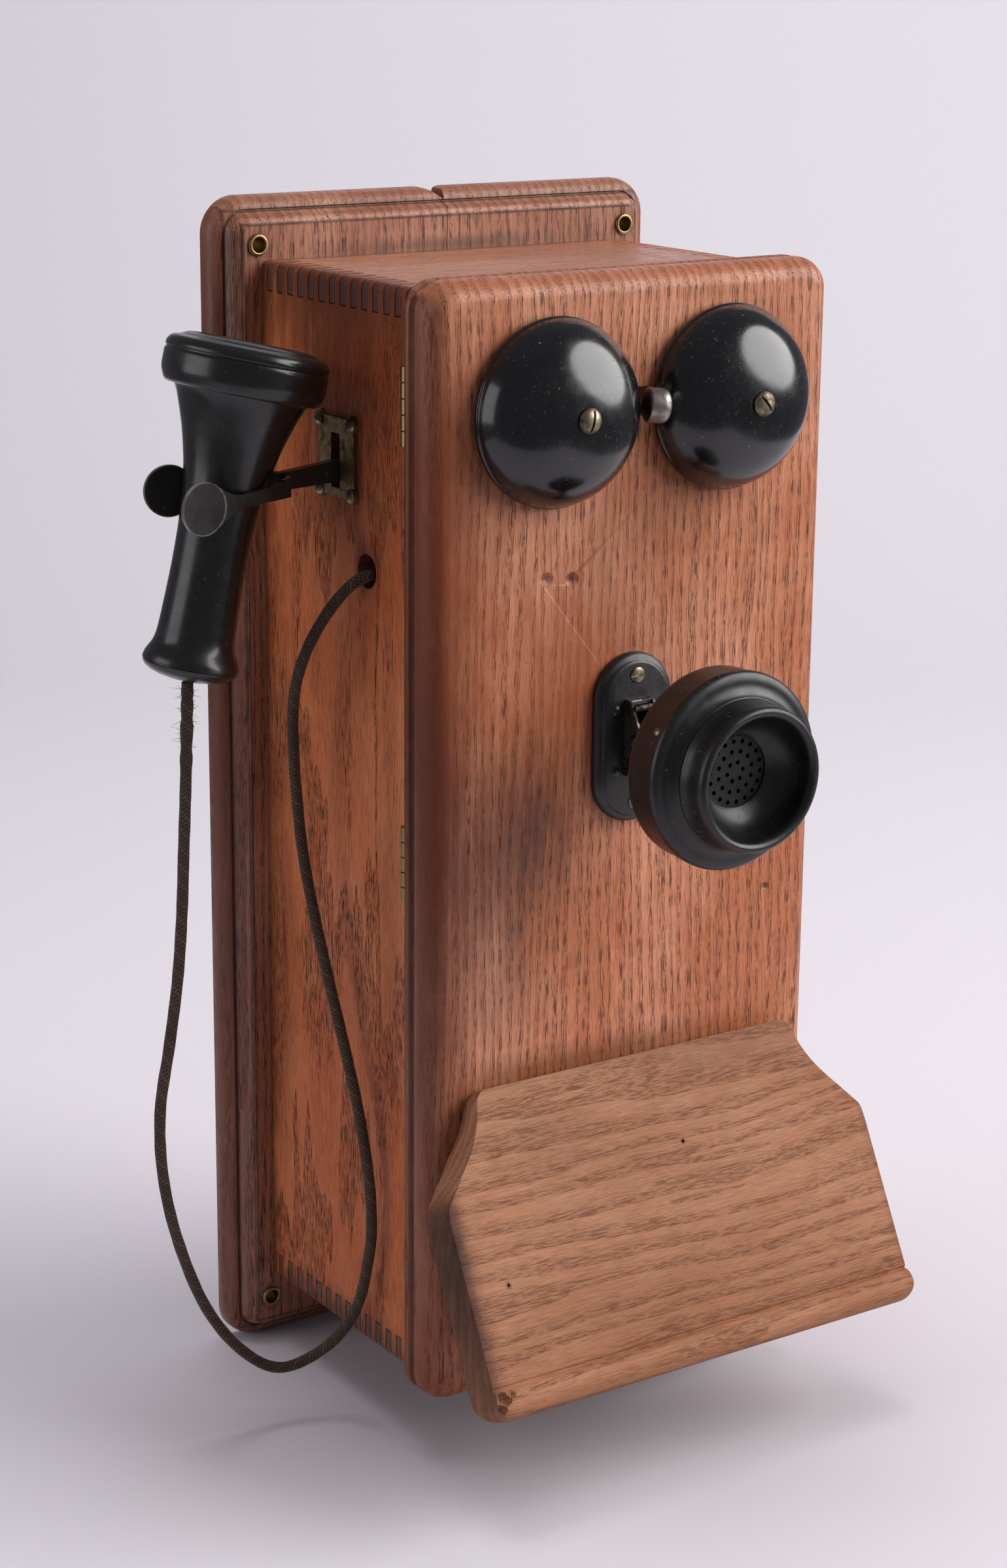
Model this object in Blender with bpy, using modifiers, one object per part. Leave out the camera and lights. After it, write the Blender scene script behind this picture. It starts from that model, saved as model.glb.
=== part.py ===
"""Oak wall telephone: a box with a hinged door on a moulded backboard, two gongs,
a tilting transmitter, a writing shelf, and a receiver hung on a switch hook.

Metres, +Z up. The origin is the centre of the backboard's back face, which lies on
the wall, so the front faces -Y and +X is to the right of someone facing it.
"""

import math

import bmesh
import bpy
from mathutils import Matrix, Vector

MM = 0.001
GAP = 0.3 * MM

# Backboard and box.
BACKBOARD_WIDTH = 225.4 * MM
BACKBOARD_HEIGHT = 520.0 * MM
BACKBOARD_THICKNESS = 18.0 * MM
BACKBOARD_CORNER = 16.0 * MM
EYELET_X = 94.6 * MM
EYELET_TOP_Z = 240.5 * MM
EYELET_BOTTOM_Z = -237.8 * MM
BOX_WIDTH = 185.8 * MM
BOX_TOP = 234.0 * MM
BOX_BOTTOM = -227.9 * MM
BOARD = 12.0 * MM
BOX_BACK = -BACKBOARD_THICKNESS - GAP
BOX_FRONT = -139.7 * MM
FINGERS = 29

# Door, shelf and what is fixed to them.
DOOR_WIDTH = 199.1 * MM
DOOR_TOP = 238.5 * MM
DOOR_BOTTOM = -234.2 * MM
DOOR_BACK = -140.0 * MM
DOOR_THICKNESS = 20.0 * MM
DOOR_FRONT = DOOR_BACK - DOOR_THICKNESS
DOOR_CORNER = 13.0 * MM
SHELF_TOP = Vector((0.0, -167.3 * MM, -91.2 * MM))
SHELF_SLOPE = math.radians(27.6)
SHELF_LENGTH = 132.0 * MM
SHELF_HALF_WIDTH = 109.0 * MM
SHELF_NECK_HALF_WIDTH = 81.7 * MM
SHELF_THICKNESS = 20.0 * MM
BRACKET_X = 60.0 * MM

# Hinges on the door's left side.
HINGE_X = -96.0 * MM
HINGE_Y = -137.0 * MM
HINGE_CENTRES = (188.5 * MM, 1.0 * MM)
HINGE_LENGTH = 32.0 * MM
KNUCKLE_RADIUS = 2.8 * MM
PIN_RADIUS = 1.1 * MM
LEAF_THICKNESS = 1.1 * MM

# Bell.
GONG_X = 43.2 * MM
GONG_Z = 185.0 * MM
GONG_RIM_Y = -162.5 * MM
HAMMER_PIVOT = Vector((0.0, -120.0 * MM, 132.0 * MM))
HAMMER_HEAD = Vector((-2.2 * MM, -174.5 * MM, 186.4 * MM))
HAMMER_HEAD_RADIUS = 7.15 * MM
HAMMER_HEAD_HALF_LENGTH = 5.1 * MM
HAMMER_HEAD_TILT = math.radians(5.0)
HAMMER_HEAD_TURN = math.radians(-19.0)
COIL_X = 14.0 * MM

# Transmitter.
TRANSMITTER_X = -2.0 * MM
TRANSMITTER_Z = 48.0 * MM
BASE_Z = 47.0 * MM
TILT_PIVOT = Vector((TRANSMITTER_X, -173.0 * MM, TRANSMITTER_Z))
CUP_BACK_Y = -212.0 * MM
GRILLE_RINGS = (
    ("inner", 3.9 * MM, 6, 10.5), ("middle", 8.4 * MM, 12, 13.0), ("outer", 12.6 * MM, 18, 15.0),
)

# Switch hook and receiver.
HOOK_Y = -79.5 * MM
HOOK_PIVOT = Vector((-66.0 * MM, HOOK_Y, 156.5 * MM))
PLATE_Z = 160.1 * MM
SLOT_HALF_WIDTH = 3.4 * MM
SLOT_BOTTOM = 147.5 * MM
SLOT_TOP = 170.0 * MM
NEAR_PADDLE = (-168.0 * MM, -22.3 * MM)
FAR_PADDLE = (-160.5 * MM, 20.6 * MM)
PADDLE_Z = 149.0 * MM
PADDLE_RADIUS = 10.7 * MM
RECEIVER_SEAM = Vector((-135.2 * MM, HOOK_Y, 201.9 * MM))
RECEIVER_TILT = math.radians(13.1)

# Receiver cord, from inside the box to the receiver's tail, in millimetres.
CORD_DIAMETER = 4.8 * MM
CORD_HOLE = Vector((-92.9 * MM, -101.3 * MM, 115.9 * MM))
CORD_HOLE_RADIUS = 7.2 * MM
CORD_ROUTE = (
    (-78.0, -101.3, 114.3),
    (-86.0, -101.3, 114.3),
    (-94.0, -101.2, 113.8),
    (-100.4, -98.6, 109.2),
    (-105.6, -94.6, 101.4),
    (-109.4, -89.4, 91.6),
    (-112.2, -84.4, 81.0),
    (-113.5, -79.8, 69.6),
    (-113.0, -75.6, 59.6),
    (-112.1, -73.0, 49.0),
    (-111.2, -72.0, 35.0),
    (-110.5, -72.2, 20.5),
    (-109.2, -75.2, -7.0),
    (-107.2, -81.0, -34.5),
    (-105.0, -89.0, -62.0),
    (-103.0, -98.0, -89.0),
    (-102.0, -107.6, -115.5),
    (-101.0, -114.0, -143.0),
    (-99.9, -114.6, -166.0),
    (-99.7, -111.4, -183.5),
    (-102.0, -105.0, -208.0),
    (-111.0, -95.6, -227.0),
    (-130.0, -88.6, -235.2),
    (-148.0, -86.0, -223.4),
    (-164.4, -84.5, -199.6),
    (-176.2, -83.0, -167.2),
    (-182.2, -82.0, -136.4),
    (-182.4, -81.0, -107.6),
    (-177.2, -80.6, -79.4),
    (-172.6, -80.3, -51.6),
    (-169.8, -80.0, -23.8),
    (-168.2, -79.8, 4.0),
    (-166.6, -79.6, 31.4),
    (-165.4, -79.5, 58.6),
    (-164.8, -79.5, 74.2),
)
CORD_POINTS = 74

LOOKS = {
    "oak": ((0.30, 0.105, 0.035), 0.32, 0.0),
    "pale oak": ((0.36, 0.19, 0.11), 0.62, 0.0),
    "black enamel": ((0.012, 0.012, 0.014), 0.18, 0.0),
    "black lacquer": ((0.02, 0.02, 0.022), 0.35, 0.0),
    "hard rubber": ((0.015, 0.014, 0.014), 0.34, 0.0),
    "brass": ((0.50, 0.36, 0.17), 0.38, 1.0),
    "blued steel": ((0.05, 0.05, 0.055), 0.42, 0.8),
    "steel": ((0.42, 0.40, 0.38), 0.36, 1.0),
    "nickel": ((0.60, 0.57, 0.54), 0.30, 1.0),
    "wound coil": ((0.10, 0.16, 0.07), 0.6, 0.0),
    "tinned can": ((0.45, 0.45, 0.44), 0.45, 1.0),
    "fibre": ((0.16, 0.05, 0.03), 0.6, 0.0),
    "carbon": ((0.04, 0.04, 0.04), 0.6, 0.0),
    "cloth cord": ((0.13, 0.085, 0.045), 0.85, 0.0),
}

UP = Vector((0.0, 0.0, 1.0))
TO_FRONT = Matrix.Rotation(math.pi / 2, 4, "X")
AXIS_X = Matrix.Rotation(math.pi / 2, 4, "Y")


def clear_scene():
    for obj in list(bpy.data.objects):
        bpy.data.objects.remove(obj, do_unlink=True)


def new_collection(name):
    collection = bpy.data.collections.new(name)
    bpy.context.scene.collection.children.link(collection)
    return collection


def new_material(name, look):
    colour, roughness, metallic = LOOKS[look]
    material = bpy.data.materials.new(name)
    material.use_nodes = True
    shader = material.node_tree.nodes["Principled BSDF"]
    shader.inputs["Base Color"].default_value = (*colour, 1.0)
    shader.inputs["Roughness"].default_value = roughness
    shader.inputs["Metallic"].default_value = metallic
    return material


def new_part(name, data, look, place=Matrix.Identity(4)):
    """An object in the telephone's collection, with its own material."""
    obj = bpy.data.objects.new(name, data)
    obj.matrix_world = place
    telephone.objects.link(obj)
    data.materials.append(new_material(name, look))
    return obj


def hide_as_cutter(obj):
    for collection in list(obj.users_collection):
        collection.objects.unlink(obj)
    cutters.objects.link(obj)
    obj.hide_render = True
    obj.display_type = "WIRE"
    return obj


def boolean(part, others, operation):
    for other in others:
        hide_as_cutter(other)
        modifier = part.modifiers.new(other.name, "BOOLEAN")
        modifier.operation = operation
        modifier.solver = "EXACT"
        modifier.object = other
    return part


def cut(part, *others):
    return boolean(part, others, "DIFFERENCE")


def join(part, *others):
    return boolean(part, others, "UNION")


def block(name, low, high, look="steel", bevel=0.0):
    """A box between two corners, in metres."""
    low, high = Vector(low), Vector(high)
    bm = bmesh.new()
    bmesh.ops.create_cube(bm, size=1.0)
    bmesh.ops.scale(bm, vec=high - low, verts=bm.verts)
    if bevel:
        bmesh.ops.bevel(bm, geom=bm.edges[:], offset=bevel, segments=1, affect="EDGES", profile=0.5)
    mesh = bpy.data.meshes.new(name)
    bm.to_mesh(mesh)
    bm.free()
    return new_part(name, mesh, look, Matrix.Translation((low + high) / 2))


def rod(name, start, end, radius, look="steel", sides=16):
    """A plain round bar between two points."""
    start, end = Vector(start), Vector(end)
    bm = bmesh.new()
    bmesh.ops.create_cone(
        bm, cap_ends=True, segments=sides, radius1=radius, radius2=radius, depth=(end - start).length,
    )
    mesh = bpy.data.meshes.new(name)
    bm.to_mesh(mesh)
    bm.free()
    mesh.shade_smooth()
    mesh.set_sharp_from_angle(angle=math.radians(40))
    turn = UP.rotation_difference(end - start).to_matrix().to_4x4()
    return new_part(name, mesh, look, Matrix.Translation((start + end) / 2) @ turn)


def turned(name, profile, look, place, sides=32, closed=False):
    """A profile of (radius, height) in millimetres, turned about its local Z."""
    points = [(radius * MM, 0.0, height * MM) for radius, height in profile]
    edges = [(i, i + 1) for i in range(len(points) - 1)]
    if closed:
        edges.append((len(points) - 1, 0))
    mesh = bpy.data.meshes.new(name)
    mesh.from_pydata(points, edges, [])
    obj = new_part(name, mesh, look, place)
    screw = obj.modifiers.new("turn", "SCREW")
    screw.steps = screw.render_steps = sides
    screw.use_merge_vertices = True
    screw.merge_threshold = 0.00001
    return obj


def mesh_of(obj):
    """The object with its curve or modifiers made a mesh, and its caps welded."""
    bpy.context.view_layer.update()
    graph = bpy.context.evaluated_depsgraph_get()
    mesh = bpy.data.meshes.new_from_object(obj.evaluated_get(graph))
    bm = bmesh.new()
    bm.from_mesh(mesh)
    bmesh.ops.remove_doubles(bm, verts=bm.verts, dist=0.000005)
    bmesh.ops.recalc_face_normals(bm, faces=bm.faces)
    bm.to_mesh(mesh)
    bm.free()
    name, place = obj.name, obj.matrix_world.copy()
    bpy.data.objects.remove(obj, do_unlink=True)
    made = bpy.data.objects.new(name, mesh)
    made.matrix_world = place
    telephone.objects.link(made)
    return made


def plate(name, outlines, thickness, look, place):
    """A flat outline with its holes, in metres, in the XY plane of a place, thickened both ways."""
    curve = bpy.data.curves.new(name, "CURVE")
    curve.dimensions = "2D"
    curve.fill_mode = "BOTH"
    curve.extrude = thickness / 2
    for outline in outlines:
        spline = curve.splines.new("POLY")
        spline.points.add(len(outline) - 1)
        spline.use_cyclic_u = True
        for point, (x, y) in zip(spline.points, outline):
            point.co = (x, y, 0.0, 1.0)
    return mesh_of(new_part(name, curve, look, place))


def frame_of(x_axis, y_axis, origin=(0.0, 0.0, 0.0)):
    """The place whose local X and Y lie along two given directions."""
    x_axis, y_axis = Vector(x_axis).normalized(), Vector(y_axis).normalized()
    turn = Matrix((x_axis, y_axis, x_axis.cross(y_axis))).transposed().to_4x4()
    return Matrix.Translation(origin) @ turn


def arc(centre, radius, start, end, steps):
    """Points on an arc, with its angles in degrees."""
    angles = [math.radians(start + (end - start) * i / steps) for i in range(steps + 1)]
    return [(centre[0] + radius * math.cos(a), centre[1] + radius * math.sin(a)) for a in angles]


def circle(centre, radius, steps=16):
    return arc(centre, radius, 0.0, 360.0, steps)[:-1]


def rectangle(low, high):
    return [(low[0], low[1]), (high[0], low[1]), (high[0], high[1]), (low[0], high[1])]


def rounded_rectangle(half_width, half_height, radius, steps=5):
    """Corner arcs, anticlockwise from the right-hand side's lower corner."""
    x, y = half_width - radius, half_height - radius
    points = []
    for centre, start in (((x, -y), -90), ((x, y), 0), ((-x, y), 90), ((-x, -y), 180)):
        points += arc(centre, radius, start, start + 90, steps)
    return points


def moulded(name, half_width, half_height, corner, profile, look, place):
    """A board whose edge follows a profile of (inset, height) in millimetres, back to front."""
    bm = bmesh.new()
    rings = []
    for inset, height in profile:
        inset *= MM
        radius = max(corner - inset, 0.8 * MM)
        outline = rounded_rectangle(half_width - inset, half_height - inset, radius)
        rings.append([bm.verts.new((x, y, height * MM)) for x, y in outline])
    count = len(rings[0])
    for low, high in zip(rings, rings[1:]):
        for i in range(count):
            bm.faces.new((low[i], low[(i + 1) % count], high[(i + 1) % count], high[i]))
    bm.faces.new(rings[0])
    bm.faces.new(rings[-1])
    bmesh.ops.recalc_face_normals(bm, faces=bm.faces)
    mesh = bpy.data.meshes.new(name)
    bm.to_mesh(mesh)
    bm.free()
    return new_part(name, mesh, look, place)


def board_on_wall(y, x=0.0, z=0.0):
    """Local XY on the wall's plane, with local Z towards the room."""
    return Matrix.Translation((x, y, z)) @ TO_FRONT


def slotted_screw(name, radius, dome, shank, length, look, place, slot_turn=20.0):
    """A screw with a domed slotted head whose underside is at local Z 0."""
    profile = (
        (0, dome), (0.55 * radius, 0.88 * dome), (0.88 * radius, 0.5 * dome),
        (radius, 0), (shank, 0), (shank, -length), (0, -length),
    )
    screw = turned(name, profile, look, place, sides=12)
    deep = max(0.4 * dome, 0.5)
    slot = block(
        name + "_slot", (-2 * radius * MM, -0.45 * MM, (dome - deep) * MM),
        (2 * radius * MM, 0.45 * MM, (dome + 1) * MM),
    )
    slot.matrix_world = place @ Matrix.Rotation(math.radians(slot_turn), 4, "Z") @ slot.matrix_world
    return cut(screw, slot)


def hang_on(pivot_name, pivot, *parts):
    """Parents parts to an empty on a joint's axis."""
    empty = bpy.data.objects.new(pivot_name, None)
    empty.location = pivot
    telephone.objects.link(empty)
    for part in parts:
        place = part.matrix_world.copy()
        part.parent = empty
        part.matrix_basis = Matrix.Translation(-Vector(pivot)) @ place
    return empty


# Backboard and box.

def build_backboard():
    profile = (
        (0.8, 0), (0, 0.8), (0, 4.0), (0.6, 6.6), (2.0, 8.9), (3.8, 10.2), (5.2, 10.6), (6.0, 10.0),
        (6.4, 11.4), (7.1, 12.4), (7.3, 13.6), (8.2, 15.4), (9.6, 16.7), (11.2, 17.2), (11.4, 18.0),
    )
    board = moulded(
        "backboard", BACKBOARD_WIDTH / 2, BACKBOARD_HEIGHT / 2, BACKBOARD_CORNER, profile, "oak",
        board_on_wall(0.0),
    )
    holes = []
    for name, x, z in eyelet_places():
        holes.append(rod("hole_for_" + name, (x, 0.005, z), (x, -0.030, z), 3.8 * MM))
    return cut(board, *holes)


def eyelet_places():
    for side, x in (("left", -EYELET_X), ("right", EYELET_X)):
        for level, z in (("top", EYELET_TOP_Z), ("bottom", EYELET_BOTTOM_Z)):
            yield f"eyelet_{level}_{side}", x, z


def build_eyelets():
    profile = (
        (3.2, 1.1), (4.0, 1.2), (4.6, 0.8), (4.7, 0.3), (3.5, 0.3), (3.5, -17.5), (3.1, -17.5),
        (3.1, 0.7),
    )
    for name, x, z in eyelet_places():
        turned(name, profile, "brass", board_on_wall(-BACKBOARD_THICKNESS, x, z), sides=14, closed=True)


def comb(start, end, high, low, first_high):
    """Finger-joint edge as (along, level) pairs, with half the gap taken off each finger."""
    step = (end - start) / FINGERS
    half_gap = math.copysign(GAP / 2, step)
    points = []
    for i in range(FINGERS):
        raised = (i % 2 == 0) == first_high
        inner = half_gap if raised else -half_gap
        left = start if i == 0 else start + i * step + inner
        right = end if i == FINGERS - 1 else start + (i + 1) * step - inner
        level = high if raised else low
        points += [(left, level), (right, level)]
    return points


def side_outline():
    """The side board's outline as (y, z), with leaf recesses left to its caller."""
    top = comb(BOX_BACK, BOX_FRONT, BOX_TOP, BOX_TOP - BOARD - GAP, True)
    bottom = comb(BOX_FRONT, BOX_BACK, BOX_BOTTOM, BOX_BOTTOM + BOARD + GAP, True)
    return top, bottom


def build_side_boards():
    place = frame_of((0, 1, 0), (0, 0, 1))
    half = BOX_WIDTH / 2 - BOARD / 2
    top, bottom = side_outline()
    plate("box_right_board", [top + bottom], BOARD, "oak", Matrix.Translation((half, 0, 0)) @ place)
    recesses = []
    for centre in HINGE_CENTRES:
        reach = HINGE_LENGTH / 2 + GAP
        floor = BOX_FRONT + LEAF_THICKNESS + GAP
        recesses += [
            (BOX_FRONT, centre + reach), (floor, centre + reach), (floor, centre - reach),
            (BOX_FRONT, centre - reach),
        ]
    lever_slot = rectangle(
        (HOOK_Y - SLOT_HALF_WIDTH - MM, SLOT_BOTTOM - 2 * MM),
        (HOOK_Y + SLOT_HALF_WIDTH + MM, SLOT_TOP + 2 * MM),
    )
    cord_hole = circle((CORD_HOLE.y, CORD_HOLE.z), CORD_HOLE_RADIUS, 20)
    plate(
        "box_left_board", [top + recesses + bottom, lever_slot, cord_hole], BOARD, "oak",
        Matrix.Translation((-half, 0, 0)) @ place,
    )


def build_end_boards():
    """Top and bottom, whose fingers fill the side boards' sockets."""
    reach = BOX_WIDTH / 2
    root = reach - BOARD - GAP
    right = [(x, y) for y, x in comb(BOX_FRONT, BOX_BACK, reach, root, False)]
    left = [(-x, y) for y, x in comb(BOX_BACK, BOX_FRONT, reach, root, False)]
    for name, z in (("box_top_board", BOX_TOP - BOARD / 2), ("box_bottom_board", BOX_BOTTOM + BOARD / 2)):
        plate(name, [right + left], BOARD, "oak", Matrix.Translation((0, 0, z)))


def build_inner_works():
    """What the box holds: induction coil, condenser and terminals, fixed to the backboard."""
    y = BOX_BACK - GAP
    block(
        "condenser_can", (18 * MM, y - 40 * MM, -196 * MM), (66 * MM, y, -128 * MM), "tinned can",
        1.5 * MM,
    )
    profile = (
        (0, 42), (13, 42), (13, 38), (9, 38), (9, -38), (13, -38), (13, -42), (0, -42),
    )
    coil_place = Matrix.Translation((-30 * MM, y - 13.4 * MM, -162 * MM)) @ AXIS_X
    turned("induction_coil", profile, "wound coil", coil_place, sides=20)
    strip = block(
        "terminal_strip", (-60 * MM, y - 9 * MM, -110 * MM), (60 * MM, y, -90 * MM), "fibre", 1.0 * MM,
    )
    posts = []
    for i in range(5):
        x = (i - 2) * 24 * MM
        posts.append(
            rod(
                f"terminal_post_{i}", (x, y - 5 * MM, -100 * MM), (x, y - 15 * MM, -100 * MM), 3 * MM,
                "brass", 10,
            )
        )
    join(strip, *posts)


# Hinges.

def leaf_and_knuckles(name, centre, low_y, high_y, bands, reach_x):
    """A leaf with the knuckles whose bands of height it owns."""
    z0, z1 = centre - HINGE_LENGTH / 2, centre + HINGE_LENGTH / 2
    leaf = block(name, (-92.0 * MM, low_y, z0), (-81.4 * MM, high_y, z1), "brass")
    step = HINGE_LENGTH / 5
    added = []
    for i in bands:
        low, high = z0 + i * step + GAP, z0 + (i + 1) * step - GAP
        low, high = max(low, z0), min(high, z1)
        arm = block(f"{name}_arm_{i}", (HINGE_X - reach_x, low_y, low), (-91.5 * MM, high_y, high))
        tube = rod(
            f"{name}_knuckle_{i}", (HINGE_X, HINGE_Y, low), (HINGE_X, HINGE_Y, high), KNUCKLE_RADIUS,
            sides=14,
        )
        added += [arm, tube]
        if low_y < DOOR_BACK:
            added.append(
                block(
                    f"{name}_web_{i}", (HINGE_X - reach_x, low_y, low + 0.01 * MM),
                    (HINGE_X + reach_x, HINGE_Y - 1.2 * MM, high - 0.01 * MM),
                )
            )
    join(leaf, *added)
    bore = rod(
        name + "_bore", (HINGE_X, HINGE_Y, z0 - MM), (HINGE_X, HINGE_Y, z1 + MM), PIN_RADIUS + 0.25 * MM,
        sides=12,
    )
    return cut(leaf, bore)


def build_hinges():
    door_leaves = []
    for level, centre in zip(("upper", "lower"), HINGE_CENTRES):
        back = BOX_FRONT + LEAF_THICKNESS
        leaf_and_knuckles(
            f"hinge_{level}_box_leaf", centre, BOX_FRONT + 0.02 * MM, back, (0, 2, 4), 1.0 * MM,
        )
        low = DOOR_BACK - LEAF_THICKNESS
        door_leaves.append(
            leaf_and_knuckles(
                f"hinge_{level}_door_leaf", centre, low, DOOR_BACK - 0.02 * MM, (1, 3), 1.6 * MM,
            )
        )
        reach = HINGE_LENGTH / 2 + 0.6 * MM
        rod(
            f"hinge_{level}_pin", (HINGE_X, HINGE_Y, centre - reach), (HINGE_X, HINGE_Y, centre + reach),
            PIN_RADIUS, "steel", 12,
        )
    return door_leaves


# Door and shelf.

def build_door_panel():
    profile = (
        (0.5, 0), (0, 0.6), (0, 2.4), (0.5, 3.2), (1.4, 3.6), (1.5, 5.8), (1.0, 6.6), (0.2, 7.2),
        (0, 8.4), (0, 10.5), (0.7, 13.5), (2.1, 16.4), (4.2, 18.8), (6.8, 19.8), (9.0, 20.0),
    )
    half_height = (DOOR_TOP - DOOR_BOTTOM) / 2
    place = board_on_wall(DOOR_BACK, z=(DOOR_TOP + DOOR_BOTTOM) / 2)
    panel = moulded("door_panel", DOOR_WIDTH / 2, half_height, DOOR_CORNER, profile, "oak", place)
    slot = block("hammer_slot", (-5 * MM, -0.170, 180 * MM), (5 * MM, -0.130, 192 * MM))
    cuts = [slot]
    for i, centre in enumerate(HINGE_CENTRES):
        reach = HINGE_LENGTH / 2 + GAP
        depth = LEAF_THICKNESS + GAP
        cuts.append(
            block(
                f"leaf_mortise_{i}", (-98.2 * MM, DOOR_BACK - depth, centre - reach),
                (-81.0 * MM, DOOR_BACK + 5 * MM, centre + reach),
            )
        )
    for side, x in (("left", -GONG_X), ("right", GONG_X)):
        cuts.append(rod(f"{side}_post_socket", (x, -0.170, GONG_Z), (x, -0.154, GONG_Z), 5.4 * MM))
    return cut(panel, *cuts)


def shelf_outline():
    """Right-hand edge as (across, down the slope), then its mirror image."""
    neck, end = SHELF_NECK_HALF_WIDTH, SHELF_LENGTH + 6 * MM
    right = [(neck - 5 * MM, 0.0), (neck - 1.6 * MM, 0.9 * MM), (neck + 1.2 * MM, 4.6 * MM)]
    for wider, down in (
        (2.7, 10), (4.7, 15), (7.6, 20.5), (10.8, 25.6), (15, 30.6), (19.7, 35.5), (25, 40.4),
    ):
        right.append((neck + wider * MM, down * MM))
    right += [(SHELF_HALF_WIDTH - 0.5 * MM, 44 * MM), (SHELF_HALF_WIDTH, 118 * MM)]
    right += arc((SHELF_HALF_WIDTH - 9 * MM, 124 * MM), 9 * MM, 0, 60, 4)
    right.append((SHELF_HALF_WIDTH - 9 * MM, end))
    return right + [(-x, y) for x, y in reversed(right)]


def shelf_frame():
    """Local X across, local Y down the slope, local Z out of the writing face."""
    down = Vector((0.0, -math.sin(SHELF_SLOPE), -math.cos(SHELF_SLOPE)))
    return frame_of((-1, 0, 0), down, SHELF_TOP)


def build_shelf():
    """A slab with a beaded round nose, trimmed to its outline and to the door's face."""
    place = shelf_frame()
    section = [
        (-20, 0), (0, 0), (0, 117.2), (-1.0, 118.2), (0.8, 119.4), (2.4, 121.2), (3.0, 123.8), (2.4, 127),
        (0.6, 129.8),
    ]
    section += [(-2.4, 131.5), (-7, 132), (-12, 131.2), (-16.4, 128.8), (-19, 125), (-20, 120)]
    lay = place @ frame_of((0, 0, 1), (0, 1, 0))
    shelf = plate(
        "writing_shelf", [[(t * MM, u * MM) for t, u in section]], 2.2 * SHELF_HALF_WIDTH, "pale oak",
        lay,
    )
    trim = plate("shelf_trim", [shelf_outline()], 4 * SHELF_THICKNESS, "oak", place)
    boolean(shelf, [trim], "INTERSECT")
    wall = block("door_plane", (-0.2, DOOR_FRONT - GAP, -0.3), (0.2, 0.05, 0.1))
    cut(shelf, wall)
    made = [shelf]
    high = place @ Vector((0.0, 38 * MM, -SHELF_THICKNESS - GAP))
    low = place @ Vector((0.0, 112 * MM, -SHELF_THICKNESS - GAP))
    face = DOOR_FRONT - GAP
    foot = low.z - 8 * MM
    bracket = [(face, high.z), (high.y, high.z), (low.y, low.z), (face - 9 * MM, foot), (face, foot)]
    for side, x in (("left", -BRACKET_X), ("right", BRACKET_X)):
        made.append(
            plate(
                f"shelf_bracket_{side}", [bracket], 18 * MM, "oak",
                frame_of((0, 1, 0), (0, 0, 1), (x, 0, 0)),
            )
        )
    return made


# Bell.

def build_gongs():
    shell = (
        (2.7, 23.6), (10, 23.3), (18.5, 21.7), (26, 18.6), (32.4, 13.3), (36.4, 7), (37.7, 2.2),
        (38.3, 1.2), (38.3, 0),
        (36.2, 0), (34.6, 5.2), (29.8, 12.8), (20.4, 19.0), (10, 21.5), (2.7, 21.7),
    )
    post = (
        (0, 12), (2.7, 12), (2.7, 21.3), (5, 21.3), (5, 0), (8.6, -0.6), (8.6, -2.2), (5, -2.2), (5, -7),
        (0, -7),
    )
    made = []
    for side, x in (("left", -GONG_X), ("right", GONG_X)):
        place = board_on_wall(GONG_RIM_Y, x, GONG_Z)
        made.append(turned(f"gong_{side}", shell, "black enamel", place, sides=28, closed=True))
        made.append(turned(f"gong_post_{side}", post, "steel", place, sides=16))
        screw_place = place @ Matrix.Translation((0, 0, 23.9 * MM))
        turn = 35.0 if side == "left" else 65.0
        made.append(slotted_screw(f"gong_screw_{side}", 5.2, 3.0, 2.2, 10.5, "brass", screw_place, turn))
    return made


def build_ringer():
    """The ringer on the door's back: frame, two coils, magnet, and the swinging hammer."""
    y_door = DOOR_BACK + GAP
    frame = block(
        "ringer_frame", (-28 * MM, y_door, 58 * MM), (28 * MM, y_door + 2 * MM, 150 * MM), "steel",
    )
    tray = block("ringer_tray", (-26 * MM, y_door + 1 * MM, 60 * MM), (26 * MM, -104 * MM, 63.6 * MM))
    pivot = rod(
        "armature_pivot", (0, y_door + 1 * MM, HAMMER_PIVOT.z), (0, -111.5 * MM, HAMMER_PIVOT.z),
        1.5 * MM, sides=12,
    )
    join(frame, tray, pivot)
    coil = (
        (0, 127), (4, 127), (4, 121), (10.5, 121), (10.5, 119), (9.2, 119), (9.2, 72), (10.5, 72),
        (10.5, 70), (0, 70),
    )
    made = [frame]
    for side, x in (("left", -COIL_X), ("right", COIL_X)):
        made.append(
            turned(
                f"ringer_coil_{side}", coil, "wound coil", Matrix.Translation((x, -120 * MM, 0)),
                sides=16,
            )
        )
    magnet = block(
        "ringer_magnet", (-24 * MM, -131 * MM, 64 * MM), (24 * MM, -104.4 * MM, 69.6 * MM), "blued steel",
    )
    limb = block("magnet_limb", (-8 * MM, -108.9 * MM, 66 * MM), (8 * MM, -104.6 * MM, 152 * MM))
    made.append(join(magnet, limb))
    return made


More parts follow.
